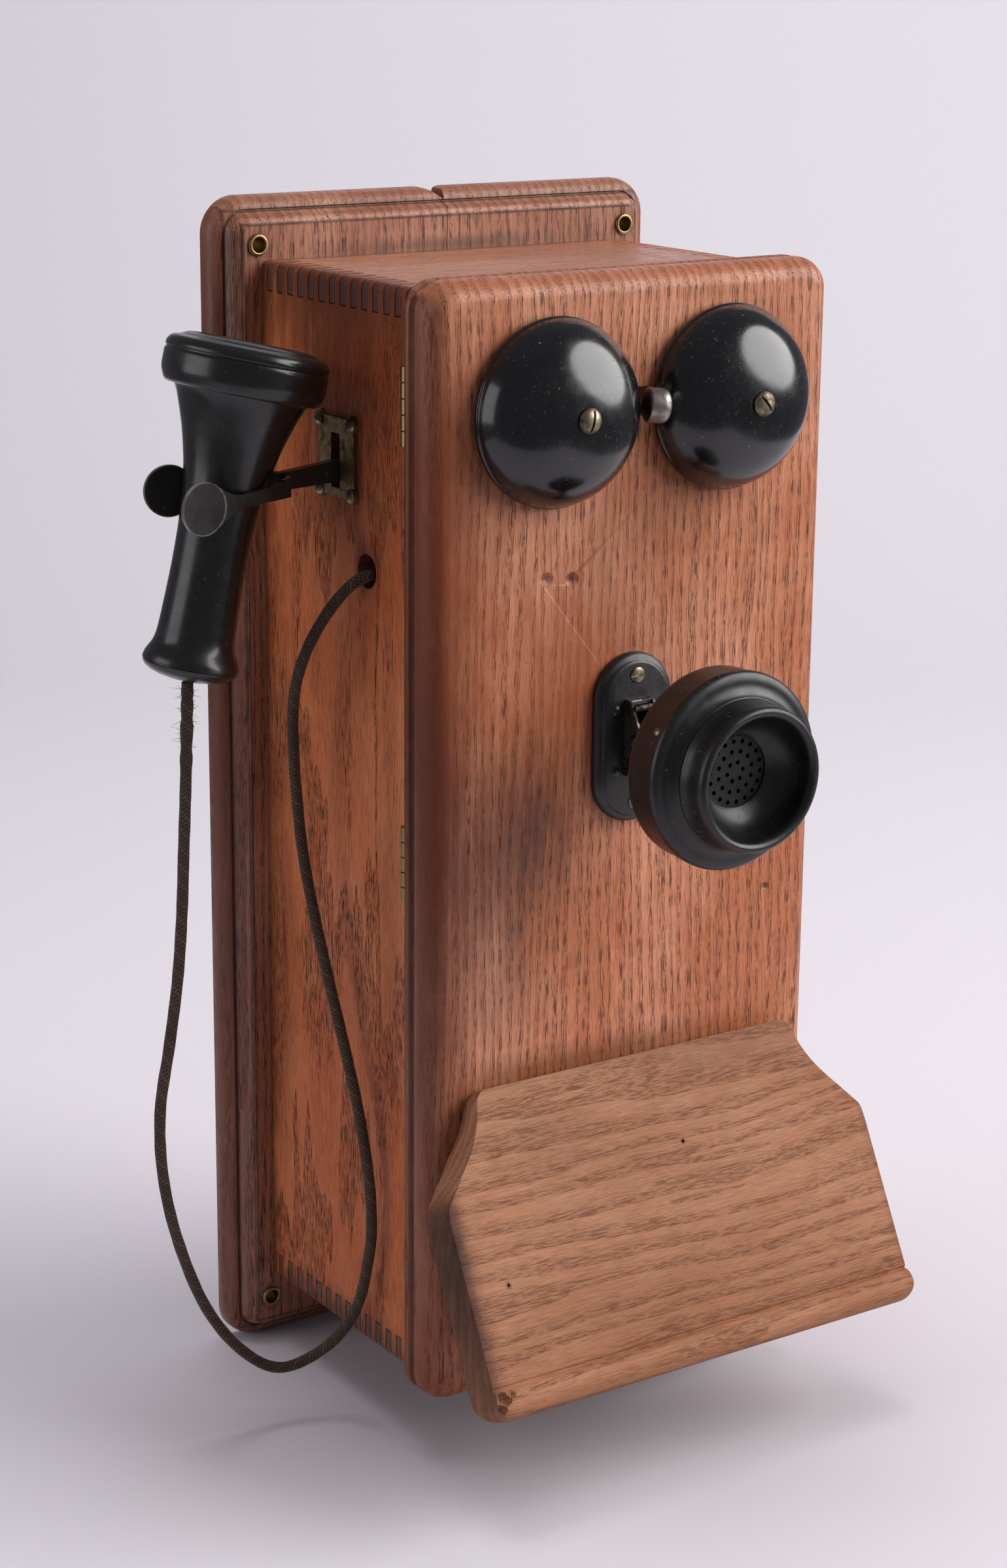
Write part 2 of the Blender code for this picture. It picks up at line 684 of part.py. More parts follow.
def build_hammer():
    armature = block(
        "ringer_armature", (-24 * MM, -125 * MM, 129 * MM), (24 * MM, -115 * MM, 135 * MM), "steel",
        0.6 * MM,
    )
    cut(
        armature,
        rod("armature_bore", (0, -0.130, HAMMER_PIVOT.z), (0, -0.110, HAMMER_PIVOT.z), 1.8 * MM, sides=12),
    )
    route = (
        (0, -120, 135.3), (0, -120, 172), (0, -121, 179), (0, -124.5, 184), (0, -130, 186),
        (0, -150, 186), (-2.2, -166.2, 186.4),
    )
    wire = tube("hammer_rod", [Vector(p) * MM for p in route], 1.2 * MM, "steel")
    half, radius = HAMMER_HEAD_HALF_LENGTH / MM, HAMMER_HEAD_RADIUS / MM
    drum = (
        (0, half), (radius - 2.8, half), (radius - 0.9, half - 0.9), (radius, half - 2.8),
        (radius, 0.6 - half),
        (radius - 0.6, -half), (0, -half),
    )
    turn = Matrix.Rotation(HAMMER_HEAD_TURN, 4, "Z") @ Matrix.Rotation(
        math.pi / 2 + HAMMER_HEAD_TILT, 4, "Y",
    )
    head = turned("hammer_head", drum, "nickel", Matrix.Translation(HAMMER_HEAD) @ turn, sides=20)
    hang_on("hammer_pivot", HAMMER_PIVOT, armature, wire, head)


def tube(name, points, radius, look):
    """A wire or cord through points in metres."""
    curve = bpy.data.curves.new(name, "CURVE")
    curve.dimensions = "3D"
    curve.bevel_depth = radius
    curve.bevel_resolution = 2
    curve.use_fill_caps = True
    spline = curve.splines.new("POLY")
    spline.points.add(len(points) - 1)
    for point, co in zip(spline.points, points):
        point.co = (*co, 1.0)
    return new_part(name, curve, look)


# Transmitter.

def build_transmitter_base():
    """Pressed plate, hollow behind, with a window for the lug riveted inside it."""
    profile = (
        (4.9, 3.4), (2.9, 2.4), (1.8, 0.3), (1.6, 0), (0, 0), (0, 1.4), (0.5, 2.6), (1.6, 3.6),
        (2.6, 4.0), (3.4, 4.9), (4.2, 5.0),
    )
    place = board_on_wall(DOOR_FRONT - GAP, TRANSMITTER_X, BASE_Z)
    base = moulded(
        "transmitter_base_plate", 19.3 * MM, 36.0 * MM, 19.2 * MM, profile, "black enamel", place,
    )
    y = DOOR_FRONT
    window = block(
        "base_window", (TRANSMITTER_X - 6.6 * MM, y - 10 * MM, BASE_Z - 18 * MM),
        (TRANSMITTER_X + 6.6 * MM, y + MM, BASE_Z + 18 * MM),
    )
    holes = []
    made = []
    for level, dz in (("top", 27.0), ("bottom", -27.0)):
        z = BASE_Z + dz * MM
        holes.append(
            rod(f"base_hole_{level}", (TRANSMITTER_X, y + MM, z), (TRANSMITTER_X, y - 0.01, z), 2.3 * MM)
        )
        screw_place = board_on_wall(y - GAP - 5.2 * MM, TRANSMITTER_X, z)
        made.append(slotted_screw(f"base_screw_{level}", 3.4, 0.9, 1.9, 4.6, "brass", screw_place, 3.0))
    cut(base, window, *holes)
    return made + [base]


def build_transmitter_lug():
    """Two cheeks on a web behind the base plate, joined by a rolled top, and the pin between them."""
    y = DOOR_FRONT - 1.4 * MM
    x0, x1 = TRANSMITTER_X - 6.2 * MM, TRANSMITTER_X + 6.2 * MM
    web = block(
        "transmitter_lug", (x0 - 5 * MM, y - 2 * MM, BASE_Z - 17 * MM),
        (x1 + 5 * MM, y, BASE_Z + 17 * MM), "blued steel",
    )
    cheek_outline = [(y - 1.0 * MM, TRANSMITTER_Z - 16 * MM), (y - 1.0 * MM, TRANSMITTER_Z + 16.4 * MM)]
    cheek_outline += arc((TILT_PIVOT.y + 6.0 * MM, TRANSMITTER_Z + 12.4 * MM), 4.0 * MM, 90, 180, 4)
    cheek_outline += arc((TILT_PIVOT.y, TILT_PIVOT.z), 5.0 * MM, 150, 230, 4)
    cheek_outline += [(TILT_PIVOT.y + 6.0 * MM, TRANSMITTER_Z - 16 * MM)]
    added = []
    for side, x in (("left", x0 + 0.6 * MM), ("right", x1 - 0.6 * MM)):
        added.append(
            plate(
                f"lug_cheek_{side}", [cheek_outline], 1.2 * MM, "steel",
                frame_of((0, 1, 0), (0, 0, 1), (x, 0, 0)),
            )
        )
    roll = block(
        "lug_roll", (x0 + 0.1 * MM, TILT_PIVOT.y + 4.6 * MM, TRANSMITTER_Z + 13.9 * MM),
        (x1 - 0.1 * MM, y - 1.2 * MM, TRANSMITTER_Z + 16.2 * MM), bevel=0.4 * MM,
    )
    join(web, *added, roll)
    bore = rod(
        "lug_bore", TILT_PIVOT - Vector((0.02, 0, 0)), TILT_PIVOT + Vector((0.02, 0, 0)), 1.75 * MM,
        sides=14,
    )
    cut(web, bore)
    pin = rod(
        "transmitter_pin", TILT_PIVOT - Vector((7.6 * MM, 0, 0)), TILT_PIVOT + Vector((7.6 * MM, 0, 0)),
        1.5 * MM, "steel", 14,
    )
    return [web, pin]


def build_transmitter_head():
    """Everything that tilts: arm, cup, face, mouthpiece, grille and the carbon button."""
    x, z = TRANSMITTER_X, TRANSMITTER_Z
    arm = rod(
        "transmitter_arm", TILT_PIVOT - Vector((4.4 * MM, 0, 0)), TILT_PIVOT + Vector((4.4 * MM, 0, 0)),
        4.4 * MM, "black lacquer", 18,
    )
    tongue = block(
        "arm_tongue", (x - 4.3 * MM, -199 * MM, z - 4.2 * MM), (x + 4.3 * MM, TILT_PIVOT.y, z + 4.2 * MM),
    )
    boss = rod("arm_boss", (x, -195.0 * MM, z), (x, -199.7 * MM, z), 12.0 * MM, sides=24)
    join(arm, tongue, boss)
    cut(
        arm,
        rod(
            "arm_bore", TILT_PIVOT - Vector((0.01, 0, 0)), TILT_PIVOT + Vector((0.01, 0, 0)), 1.75 * MM,
            sides=14,
        ),
    )
    place = board_on_wall(CUP_BACK_Y, x, z)
    cup_profile = (
        (40.0, 15.4), (39.9, 4.0), (39.4, 1.4), (37.8, 0), (30, -4.3), (20, -9.2), (12, -11.6), (0, -12),
        (0, -9.8), (11.6, -9.4), (19.4, -6.8), (29, -2), (36.6, 2.4), (37.6, 4.6), (37.6, 15.4),
    )
    cup = turned("transmitter_cup", cup_profile, "black enamel", place, sides=28, closed=True)
    face_profile = (
        (23.2, 22.9), (23.6, 23.3), (30.9, 23.3), (32.4, 21.6), (34.8, 20.5), (38.0, 20.2), (40.0, 19.2),
        (40.7, 17.8),
        (40.7, 15.7), (37.8, 15.7), (37.6, 17.6), (28.0, 18.4), (23.2, 19.0),
    )
    face = turned("transmitter_face", face_profile, "black enamel", place, sides=28, closed=True)
    mouth_profile = (
        (25.2, 34.6), (26.4, 36.4), (28.6, 36.5), (29.8, 35.0), (29.6, 31.0), (29.8, 27.0), (30.7, 23.7),
        (22.8, 23.6), (22.8, 19.2), (14.7, 19.2), (14.6, 20.2), (18.6, 22.6), (22.4, 26.6), (24.4, 31.0),
    )
    mouth = turned("mouthpiece", mouth_profile, "black enamel", place, sides=28, closed=True)
    grille = rod(
        "mouthpiece_grille", (x, CUP_BACK_Y - 16.8 * MM, z), (x, CUP_BACK_Y - 18.6 * MM, z), 14.6 * MM,
        "black enamel", 28,
    )
    drill_grille(grille)
    button = rod(
        "carbon_button", (x, CUP_BACK_Y + 8.2 * MM, z), (x, CUP_BACK_Y - 12 * MM, z), 14.0 * MM, "carbon",
        20,
    )
    hang_on("transmitter_pivot", TILT_PIVOT, arm, cup, face, mouth, grille, button)


def drill_grille(grille):
    """Sound holes in three rings."""
    holes = []
    for ring, radius, count, first in GRILLE_RINGS:
        for i in range(count):
            angle = math.radians(first + 360.0 * i / count)
            x = TRANSMITTER_X + radius * math.cos(angle)
            z = TRANSMITTER_Z + radius * math.sin(angle)
            start = (x, CUP_BACK_Y - 15 * MM, z)
            holes.append(
                rod(f"sound_hole_{ring}_{i}", start, (x, CUP_BACK_Y - 21 * MM, z), 0.95 * MM, sides=6)
            )
    cut(grille, *holes)


# Switch hook.

def build_escutcheon():
    """Brass plate with ears round its four corner screws, and the lever's slot."""
    across, up = 12.4 * MM, 14.6 * MM
    outline = []
    for cx, cy, start in ((across, up, -60), (-across, up, 30), (-across, -up, 120), (across, -up, 210)):
        outline += arc((cx, cy), 3.6 * MM, start, start + 210, 7)
    slot = rectangle((-SLOT_HALF_WIDTH, SLOT_BOTTOM - PLATE_Z), (SLOT_HALF_WIDTH, SLOT_TOP - PLATE_Z))
    holes = [circle((sx * across, sy * up), 1.6 * MM, 10) for sx in (-1, 1) for sy in (-1, 1)]
    thickness = 1.3 * MM
    face = -BOX_WIDTH / 2 - GAP
    place = frame_of((0, -1, 0), (0, 0, 1), (face - thickness / 2, HOOK_Y, PLATE_Z))
    plate("hook_escutcheon", [outline, slot, *holes], thickness, "brass", place)
    for name, dy, dz in (
        ("front_top", -across, up), ("front_bottom", -across, -up), ("rear_top", across, up),
        ("rear_bottom", across, -up),
    ):
        at = Vector((face - thickness - 0.2 * MM, HOOK_Y + dy, PLATE_Z + dz))
        place = frame_of((0, 1, 0), (0, 0, -1), at)
        head = ((0, 1.9), (1.7, 1.7), (2.7, 1.0), (3.1, 0), (1.3, 0), (1.3, -1.6), (0, -1.6))
        turned(f"escutcheon_screw_{name}", head, "brass", place, sides=14)


def build_hook_lever():
    """Bar from the pivot through the slot, with a fork of two paddles for the receiver."""
    x_yoke = -121.0 * MM
    bar_outline = [
        (HOOK_PIVOT.x + 5 * MM, HOOK_PIVOT.z - 3.4 * MM),
        (HOOK_PIVOT.x + 5 * MM, HOOK_PIVOT.z + 3.4 * MM), (-94 * MM, 159.0 * MM),
        (x_yoke - 1.4 * MM, 155.8 * MM), (x_yoke - 1.4 * MM, 148.8 * MM), (-94 * MM, 150.0 * MM),
    ]
    lever = plate(
        "hook_lever", [bar_outline], 4.4 * MM, "black lacquer",
        frame_of((1, 0, 0), (0, 0, 1), (0, HOOK_Y, 0)),
    )
    yoke_outer = arc((x_yoke - 12.6 * MM, HOOK_Y), 15.6 * MM, 66, -66, 10)
    yoke_inner = arc((x_yoke - 12.6 * MM, HOOK_Y), 13.8 * MM, -66, 66, 10)
    yoke = plate(
        "hook_yoke", [yoke_outer + yoke_inner], 7.2 * MM, "black lacquer",
        Matrix.Translation((0, 0, 151.9 * MM)),
    )
    added = [yoke]
    for side, paddle in ((-1, NEAR_PADDLE), (1, FAR_PADDLE)):
        root = Vector((x_yoke - 3.0 * MM, HOOK_Y + side * 13.9 * MM, 0.0))
        tip = Vector((paddle[0], HOOK_Y + paddle[1], 0.0))
        along = (tip - root).normalized()
        reach = (tip - root).length
        outline = [
            (0, 148.4 * MM), (0, 155.4 * MM), (0.35 * reach, 153.2 * MM), (0.62 * reach, 152.4 * MM),
            (0.74 * reach, 154.8 * MM),
        ]
        outline += [(reach - x, PADDLE_Z + y) for x, y in arc((0, 0), PADDLE_RADIUS, 52, 308, 18)]
        outline += [(0.74 * reach, 143.4 * MM), (0.60 * reach, 146.6 * MM), (0.35 * reach, 147.7 * MM)]
        made = plate(
            f"fork_arm_{side}", [outline], 1.6 * MM, "black lacquer", frame_of(along, (0, 0, 1), root),
        )
        added.append(made)
    join(lever, *added)
    cut(
        lever,
        rod(
            "lever_bore", HOOK_PIVOT - Vector((0, 0.01, 0)), HOOK_PIVOT + Vector((0, 0.01, 0)), 1.75 * MM,
            sides=14,
        ),
    )
    hang_on("hook_pivot", HOOK_PIVOT, lever)


def build_hook_switch():
    """Bracket and pin for the lever, and the stack of contact springs beside it."""
    wall = -BOX_WIDTH / 2 + BOARD + GAP
    y0, y1 = HOOK_Y - 7.2 * MM, HOOK_Y + 7.2 * MM
    low, high = 128 * MM, 184 * MM
    bracket = block("hook_bracket", (wall, y0, low), (wall + 1.8 * MM, y1, high), "steel")
    cut(
        bracket,
        block(
            "bracket_window", (wall - MM, HOOK_Y - 4.6 * MM, 144 * MM),
            (wall + 3 * MM, HOOK_Y + 4.6 * MM, 174 * MM),
        ),
    )
    cheeks = []
    for side in (-1, 1):
        outer = HOOK_Y + side * 7.2 * MM
        inner = HOOK_Y + side * 5.4 * MM
        cheeks.append(
            block(
                f"bracket_cheek_{side}", (wall + 0.5 * MM, min(outer, inner), 146 * MM),
                (HOOK_PIVOT.x + 6 * MM, max(outer, inner), 166 * MM),
            )
        )
    join(bracket, *cheeks)
    cut(
        bracket,
        rod(
            "bracket_bore", HOOK_PIVOT - Vector((0, 0.01, 0)), HOOK_PIVOT + Vector((0, 0.01, 0)),
            1.75 * MM, sides=14,
        ),
    )
    rod(
        "hook_pivot_pin", HOOK_PIVOT - Vector((0, 8.4 * MM, 0)), HOOK_PIVOT + Vector((0, 8.4 * MM, 0)),
        1.5 * MM, "steel", 14,
    )
    stack = block(
        "hook_contact_springs", (wall, HOOK_Y - 7 * MM, 186 * MM),
        (wall + 22 * MM, HOOK_Y + 7 * MM, 196 * MM), "fibre",
    )
    springs = []
    for i in range(3):
        x = wall + (7 + 5 * i) * MM
        springs.append(
            block(
                f"contact_spring_{i}", (x, HOOK_Y - 4 * MM, 168 * MM + i * MM),
                (x + 0.7 * MM, HOOK_Y + 4 * MM, 188 * MM), "brass",
            )
        )
    join(stack, *springs)


# Receiver.

def build_receiver():
    place = Matrix.Translation(RECEIVER_SEAM) @ Matrix.Rotation(RECEIVER_TILT, 4, "Y")
    shell_profile = (
        (29.0, -2.6), (29.0, -11.0), (26.8, -13.2), (25.1, -17.1), (22.6, -24.6), (20.6, -31.0),
        (19.0, -38.0), (17.4, -45.0),
        (16.4, -52.0), (15.7, -60.0), (15.1, -70.0), (15.0, -82.0), (15.5, -104.0), (16.0, -113.0),
        (17.0, -116.8),
        (18.6, -119.4), (19.6, -121.6), (19.7, -123.6), (18.8, -125.6), (15.4, -128.0), (9.0, -129.9),
        (0, -130.5),
        (0, -127.4), (9.6, -126.6), (12.2, -124.0), (12.2, -60.0), (13.6, -45.0), (16.2, -31.0),
        (21.0, -17.0), (25.4, -9.0), (25.4, -2.6),
    )
    shell = turned("receiver_shell", shell_profile, "hard rubber", place, sides=24, closed=True)
    cap_profile = (
        (8.0, 3.0), (12.0, 4.2), (18.0, 5.8), (21.6, 7.4), (24.6, 7.7), (26.4, 7.0), (28.2, 5.8),
        (30.8, 5.6), (32.6, 4.0), (33.2, 1.9),
        (32.6, 0.6), (33.3, -1.0), (33.2, -7.4), (32.4, -10.6), (30.8, -12.6), (29.4, -13.2),
        (29.4, -1.0), (26.6, -0.8), (26.6, 1.4), (8.0, 1.0),
    )
    cap = turned("receiver_ear_cap", cap_profile, "hard rubber", place, sides=28, closed=True)
    diaphragm = turned(
        "receiver_diaphragm", ((0, -1.4), (28.8, -1.4), (28.8, -2.2), (0, -2.2)), "steel", place,
        sides=24,
    )
    magnet = block(
        "receiver_magnet", (-8.4 * MM, -5.5 * MM, -112 * MM), (8.4 * MM, 5.5 * MM, -6 * MM),
        "blued steel",
    )
    magnet.matrix_world = place @ magnet.matrix_world
    split = block("magnet_split", (-4 * MM, -7 * MM, -102 * MM), (4 * MM, 7 * MM, 1 * MM))
    split.matrix_world = place @ split.matrix_world
    cut(magnet, split)
    hang_on("receiver_hang_point", RECEIVER_SEAM, shell, cap, diaphragm, magnet)


# Cord.

def smooth_route(route, count):
    """Points at even spacing along a Catmull-Rom curve through the route's points."""
    anchors = [Vector(p) * MM for p in route]
    anchors = [2 * anchors[0] - anchors[1], *anchors, 2 * anchors[-1] - anchors[-2]]
    dense = []
    for a, b, c, d in zip(anchors, anchors[1:], anchors[2:], anchors[3:]):
        for i in range(20):
            t = i / 20
            dense.append(
                0.5 * (
                    (2 * b) + (c - a) * t + (
                        2 * a - 5 * b + 4 * c - d
                    ) * t * t + (3 * b - a - 3 * c + d) * t ** 3
                )
            )
    dense.append(anchors[-2])
    travelled = [0.0]
    for a, b in zip(dense, dense[1:]):
        travelled.append(travelled[-1] + (b - a).length)
    points, j = [], 0
    for i in range(count):
        target = travelled[-1] * i / (count - 1)
        while j < len(dense) - 2 and travelled[j + 1] < target:
            j += 1
        span = travelled[j + 1] - travelled[j]
        points.append(dense[j].lerp(dense[j + 1], (target - travelled[j]) / span))
    return points


def build_cord():
    tube("receiver_cord", smooth_route(CORD_ROUTE, CORD_POINTS), CORD_DIAMETER / 2, "cloth cord")


def build_telephone():
    build_backboard()
    build_eyelets()
    build_side_boards()
    build_end_boards()
    build_inner_works()
    door_pieces = build_hinges()
    door_pieces.append(build_door_panel())
    door_pieces += build_shelf()
    door_pieces += build_gongs()
    door_pieces += build_ringer()
    door_pieces += build_transmitter_base()
    door_pieces += build_transmitter_lug()
    hang_on("door_hinge_axis", (HINGE_X, HINGE_Y, 0.0), *door_pieces)
    build_hammer()
    build_transmitter_head()
    build_escutcheon()
    build_hook_lever()
    build_hook_switch()
    build_receiver()
    build_cord()


clear_scene()
telephone = new_collection("wall_telephone")
cutters = new_collection("cutters")
build_telephone()
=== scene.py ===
# Oak wall telephone: the finished look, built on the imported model's frame.
# Metres, +Z up; the wall is the plane y = 0 and the front faces -Y.

import math
import random

import bmesh
import bpy
from mathutils import Matrix, Vector


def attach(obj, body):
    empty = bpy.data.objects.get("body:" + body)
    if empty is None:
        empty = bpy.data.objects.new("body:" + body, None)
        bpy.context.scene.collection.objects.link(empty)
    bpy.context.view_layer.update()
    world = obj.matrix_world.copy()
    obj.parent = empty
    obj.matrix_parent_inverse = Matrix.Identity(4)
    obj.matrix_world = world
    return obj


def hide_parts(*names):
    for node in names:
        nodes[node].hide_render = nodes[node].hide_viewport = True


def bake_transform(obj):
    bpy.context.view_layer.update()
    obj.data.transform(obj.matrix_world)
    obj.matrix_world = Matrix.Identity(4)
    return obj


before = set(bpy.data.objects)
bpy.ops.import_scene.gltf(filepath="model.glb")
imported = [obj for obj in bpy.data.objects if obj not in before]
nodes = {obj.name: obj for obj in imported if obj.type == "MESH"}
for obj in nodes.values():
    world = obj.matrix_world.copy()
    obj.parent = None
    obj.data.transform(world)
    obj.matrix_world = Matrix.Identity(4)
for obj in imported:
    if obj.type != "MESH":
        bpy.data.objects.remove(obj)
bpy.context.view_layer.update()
mm = 0.001
touching = 0.003 * mm  # points nearer than this are one point
toFront = Matrix.Rotation(math.pi / 2, 4, "X")  # local +Z becomes -Y
toRight = Matrix.Rotation(math.pi / 2, 4, "Y")  # local +Z becomes +X

print("frame loaded")


# camera, light and floor

cameraSet = {
    "place": (-0.7440, -1.1618, 0.3739),
    "turn": -34.149,
    "height": 15.619,
    "roll": 0.49,
    "lens": 71.3,
}

lightSet = {
    "key": {
        "from": (2.13, -1.66, 1.32), "aim": (0, -0.1, 0), "size": 2.9, "watts": 130.0,
        "colour": (1.0, 0.985, 0.97), "shape": "DISK", "seen": True,
    },
    "leftFill": {
        "from": (-1.75, 0.25, 0.45), "aim": (0, -0.1, 0), "size": 1.2, "watts": 8.0,
        "colour": (0.97, 0.96, 1.0), "shape": "SQUARE", "seen": True,
    },
    "top": {
        "from": (0.1, -0.2, 1.7), "aim": (0, -0.1, 0), "size": 1.6, "watts": 11.0,
        "colour": (0.98, 0.97, 1.0), "shape": "SQUARE", "seen": False,
    },
    "backdrop": {
        "from": (-0.1, 0.3, 2.6), "aim": (1.0, 1.5, 0.4), "size": 1.2, "watts": 34.0,
        "colour": (0.98, 0.96, 1.0), "shape": "SQUARE", "seen": False,
    },
}

room = {"colour": (0.93, 0.91, 1.0, 1), "strength": 0.16}

floorSet = {
    "left": -0.85, "right": 0.95, "front": -0.85, "height": -0.2604,
    "flat": 2.05, "bend": 1.1, "bendSteps": 16, "rise": 1.6,
    "low": (0.60, 0.572, 0.612), "high": (0.68, 0.665, 0.71), "fade": (-0.25, 1.2), "rough": 0.85,
    "specular": 0.2,
}


def addCamera():
    data = bpy.data.cameras.new("camera")
    data.lens = cameraSet["lens"]
    data.clip_end = 30
    camera = bpy.data.objects.new("camera", data)
    turn = Matrix.Rotation(math.radians(cameraSet["turn"]), 4, "Z")
    turn = turn @ Matrix.Rotation(math.radians(90 - cameraSet["height"]), 4, "X")
    turn = turn @ Matrix.Rotation(math.radians(cameraSet["roll"]), 4, "Z")
    camera.matrix_world = Matrix.Translation(cameraSet["place"]) @ turn
    bpy.context.scene.collection.objects.link(camera)
    bpy.context.scene.camera = camera


def addLights():
    for name, values in lightSet.items():
        data = bpy.data.lights.new(name, "AREA")
        data.shape = values["shape"]
        data.size = values["size"]
        data.energy = values["watts"]
        data.color = values["colour"]
        lamp = bpy.data.objects.new(name, data)
        spot, aim = Vector(values["from"]), Vector(values["aim"])
        turn = (spot - aim).to_track_quat("Z", "Y").to_matrix().to_4x4()
        lamp.matrix_world = Matrix.Translation(spot) @ turn
        lamp.visible_glossy = values["seen"]
        bpy.context.scene.collection.objects.link(lamp)
    world = bpy.data.worlds.new("studio")
    world.use_nodes = True
    back = world.node_tree.nodes["Background"]
    back.inputs["Color"].default_value = room["colour"]
    back.inputs["Strength"].default_value = room["strength"]
    bpy.context.scene.world = world
    bpy.context.scene.view_settings.view_transform = "Standard"


def addFloor():
    # a sheet of paper that lies flat, bends up through a quarter turn and stands
    bm = bmesh.new()
    moving = [
        bm.edges.new([bm.verts.new((floorSet[side], floorSet["front"], 0)) for side in ("left", "right")])
    ]
    reach = floorSet["bend"] * math.pi / 2 / floorSet["bendSteps"]
    steps = [(floorSet["flat"], 0)]
    for i in range(floorSet["bendSteps"]):
        angle = math.radians(90 * (i + 0.5) / floorSet["bendSteps"])
        steps.append((reach * math.cos(angle), reach * math.sin(angle)))
    steps.append((0, floorSet["rise"]))
    for along, rise in steps:
        made = bmesh.ops.extrude_edge_only(bm, edges=moving)["geom"]
        bmesh.ops.translate(
            bm, vec=(0, along, rise), verts=[v for v in made if isinstance(v, bmesh.types.BMVert)],
        )
        moving = [e for e in made if isinstance(e, bmesh.types.BMEdge)]
    bmesh.ops.recalc_face_normals(bm, faces=bm.faces)
    turn = Matrix.Rotation(math.radians(cameraSet["turn"]), 3, "Z")
    bmesh.ops.rotate(bm, cent=(0, 0, 0), matrix=turn, verts=bm.verts)
    bmesh.ops.translate(bm, vec=(0, 0, floorSet["height"]), verts=bm.verts)
    paper, tree, shader, place = newMaterial("studioPaper")
    # the paper's colour is painted lighter with height: painted light standing in for the backdrop's
    # lighting
    height = add(tree, "SeparateXYZ", {0: place}).outputs["Z"]
    low, high = floorSet["fade"]
    fade = add(tree, "MapRange", {"Value": height, "From Min": low, "From Max": high}).outputs["Result"]
    colour = blended(tree, fade, floorSet["low"], floorSet["high"])
    setShader(
        tree, shader,
        {"Base Color": colour, "Roughness": floorSet["rough"], "Specular IOR Level": floorSet["specular"]},
    )
    finishPiece("floor", bm, paper, smoothAngle=60)


# mesh helpers

def finishPiece(
    name, bm, material, body=None, replaces=(), smoothAngle=35, place=None, soften=0.0, segments=2,
):
    if place is not None:
        bmesh.ops.transform(bm, matrix=place, verts=bm.verts)
    mesh = bpy.data.meshes.new(name)
    bm.to_mesh(mesh)
    bm.free()
    mesh.shade_smooth()
    mesh.set_sharp_from_angle(angle=math.radians(smoothAngle))
    piece = bpy.data.objects.new(name, mesh)
    bpy.context.scene.collection.objects.link(piece)
    if soften:
        rounding = piece.modifiers.new("soften", "BEVEL")
        rounding.width = soften
        rounding.segments = segments
        rounding.limit_method = "ANGLE"
        rounding.angle_limit = math.radians(34)
        rounding.harden_normals = True
    mesh.materials.append(material)
    if body:
        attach(piece, body)
    if replaces:
        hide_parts(*replaces)
    return piece


def turnedShape(profile, steps=96, closed=False):
    bm = bmesh.new()
    made = [bm.verts.new((radius * mm, 0, height * mm)) for radius, height in profile]
    for a, b in zip(made, made[1:]):
        bm.edges.new((a, b))
    if closed:
        bm.edges.new((made[-1], made[0]))
    bmesh.ops.spin(
        bm, geom=bm.verts[:] + bm.edges[:], cent=(0, 0, 0), axis=(0, 0, 1), angle=2 * math.pi, steps=steps,
        use_merge=True,
    )
    bmesh.ops.remove_doubles(bm, verts=bm.verts, dist=0.000002)
    bmesh.ops.recalc_face_normals(bm, faces=bm.faces)
    return bm


def ease(points, rounds=2):
    for _ in range(rounds):
        cut = [points[0]]
        for a, b in zip(points, points[1:]):
            cut.append((0.75 * a[0] + 0.25 * b[0], 0.75 * a[1] + 0.25 * b[1]))
            cut.append((0.25 * a[0] + 0.75 * b[0], 0.25 * a[1] + 0.75 * b[1]))
        points = cut + [points[-1]]
    return points


def mouldedShape(halfWidth, halfHeight, corner, profile, cornerSteps):
    # a rounded panel whose edge follows the profile, each ring a true offset of the outline
    bm = bmesh.new()
    bm.faces.new(
        [bm.verts.new((x * halfWidth, y * halfHeight, 0)) for x, y in ((-1, -1), (1, -1), (1, 1), (-1, 1))]
    )
    bmesh.ops.bevel(
        bm, geom=bm.verts[:], offset=corner, offset_type="OFFSET", segments=cornerSteps, profile=0.5,
        affect="VERTICES", material=-1,
    )
    face = first = bm.faces[:][0]
    hub = (halfWidth - corner, halfHeight - corner)
    for step, (inset, height) in enumerate(profile):
        if step:
            made = bmesh.ops.extrude_face_region(bm, geom=[face])["geom"]
            if face is not first:
                bmesh.ops.delete(bm, geom=[face], context="FACES_ONLY")
            face = [f for f in made if isinstance(f, bmesh.types.BMFace)][0]
        reach = max(corner - inset * mm, 0.4 * mm)
        nextHub = (halfWidth - inset * mm - reach, halfHeight - inset * mm - reach)
        for vert in face.verts:
            right, up = math.copysign(1, vert.co.x), math.copysign(1, vert.co.y)
            away = Vector((vert.co.x - right * hub[0], vert.co.y - up * hub[1], 0)).normalized()
            vert.co = Vector((right * nextHub[0], up * nextHub[1], height * mm)) + away * reach
        hub = nextHub
    bmesh.ops.recalc_face_normals(bm, faces=bm.faces)
    if bm.calc_volume(signed=True) < 0:
        bmesh.ops.reverse_faces(bm, faces=bm.faces)
    return bm


def plateShape(outlines, thickness):
    curve = bpy.data.curves.new("outline", "CURVE")
    curve.dimensions = "2D"
    curve.fill_mode = "BOTH"
    curve.extrude = thickness / 2
    for outline in outlines:
        spline = curve.splines.new("POLY")
        spline.points.add(len(outline) - 1)
        spline.use_cyclic_u = True
        for point, (x, y) in zip(spline.points, outline):
            point.co = (x, y, 0, 1)
    drawn = bpy.data.objects.new("outline", curve)
    bpy.context.scene.collection.objects.link(drawn)
    mesh = meshFrom(drawn)
    bm = bmesh.new()
    bm.from_mesh(mesh)
    bmesh.ops.remove_doubles(bm, verts=bm.verts, dist=touching)
    bmesh.ops.recalc_face_normals(bm, faces=bm.faces)
    bpy.data.objects.remove(drawn)
    bpy.data.meshes.remove(mesh)
    return bm


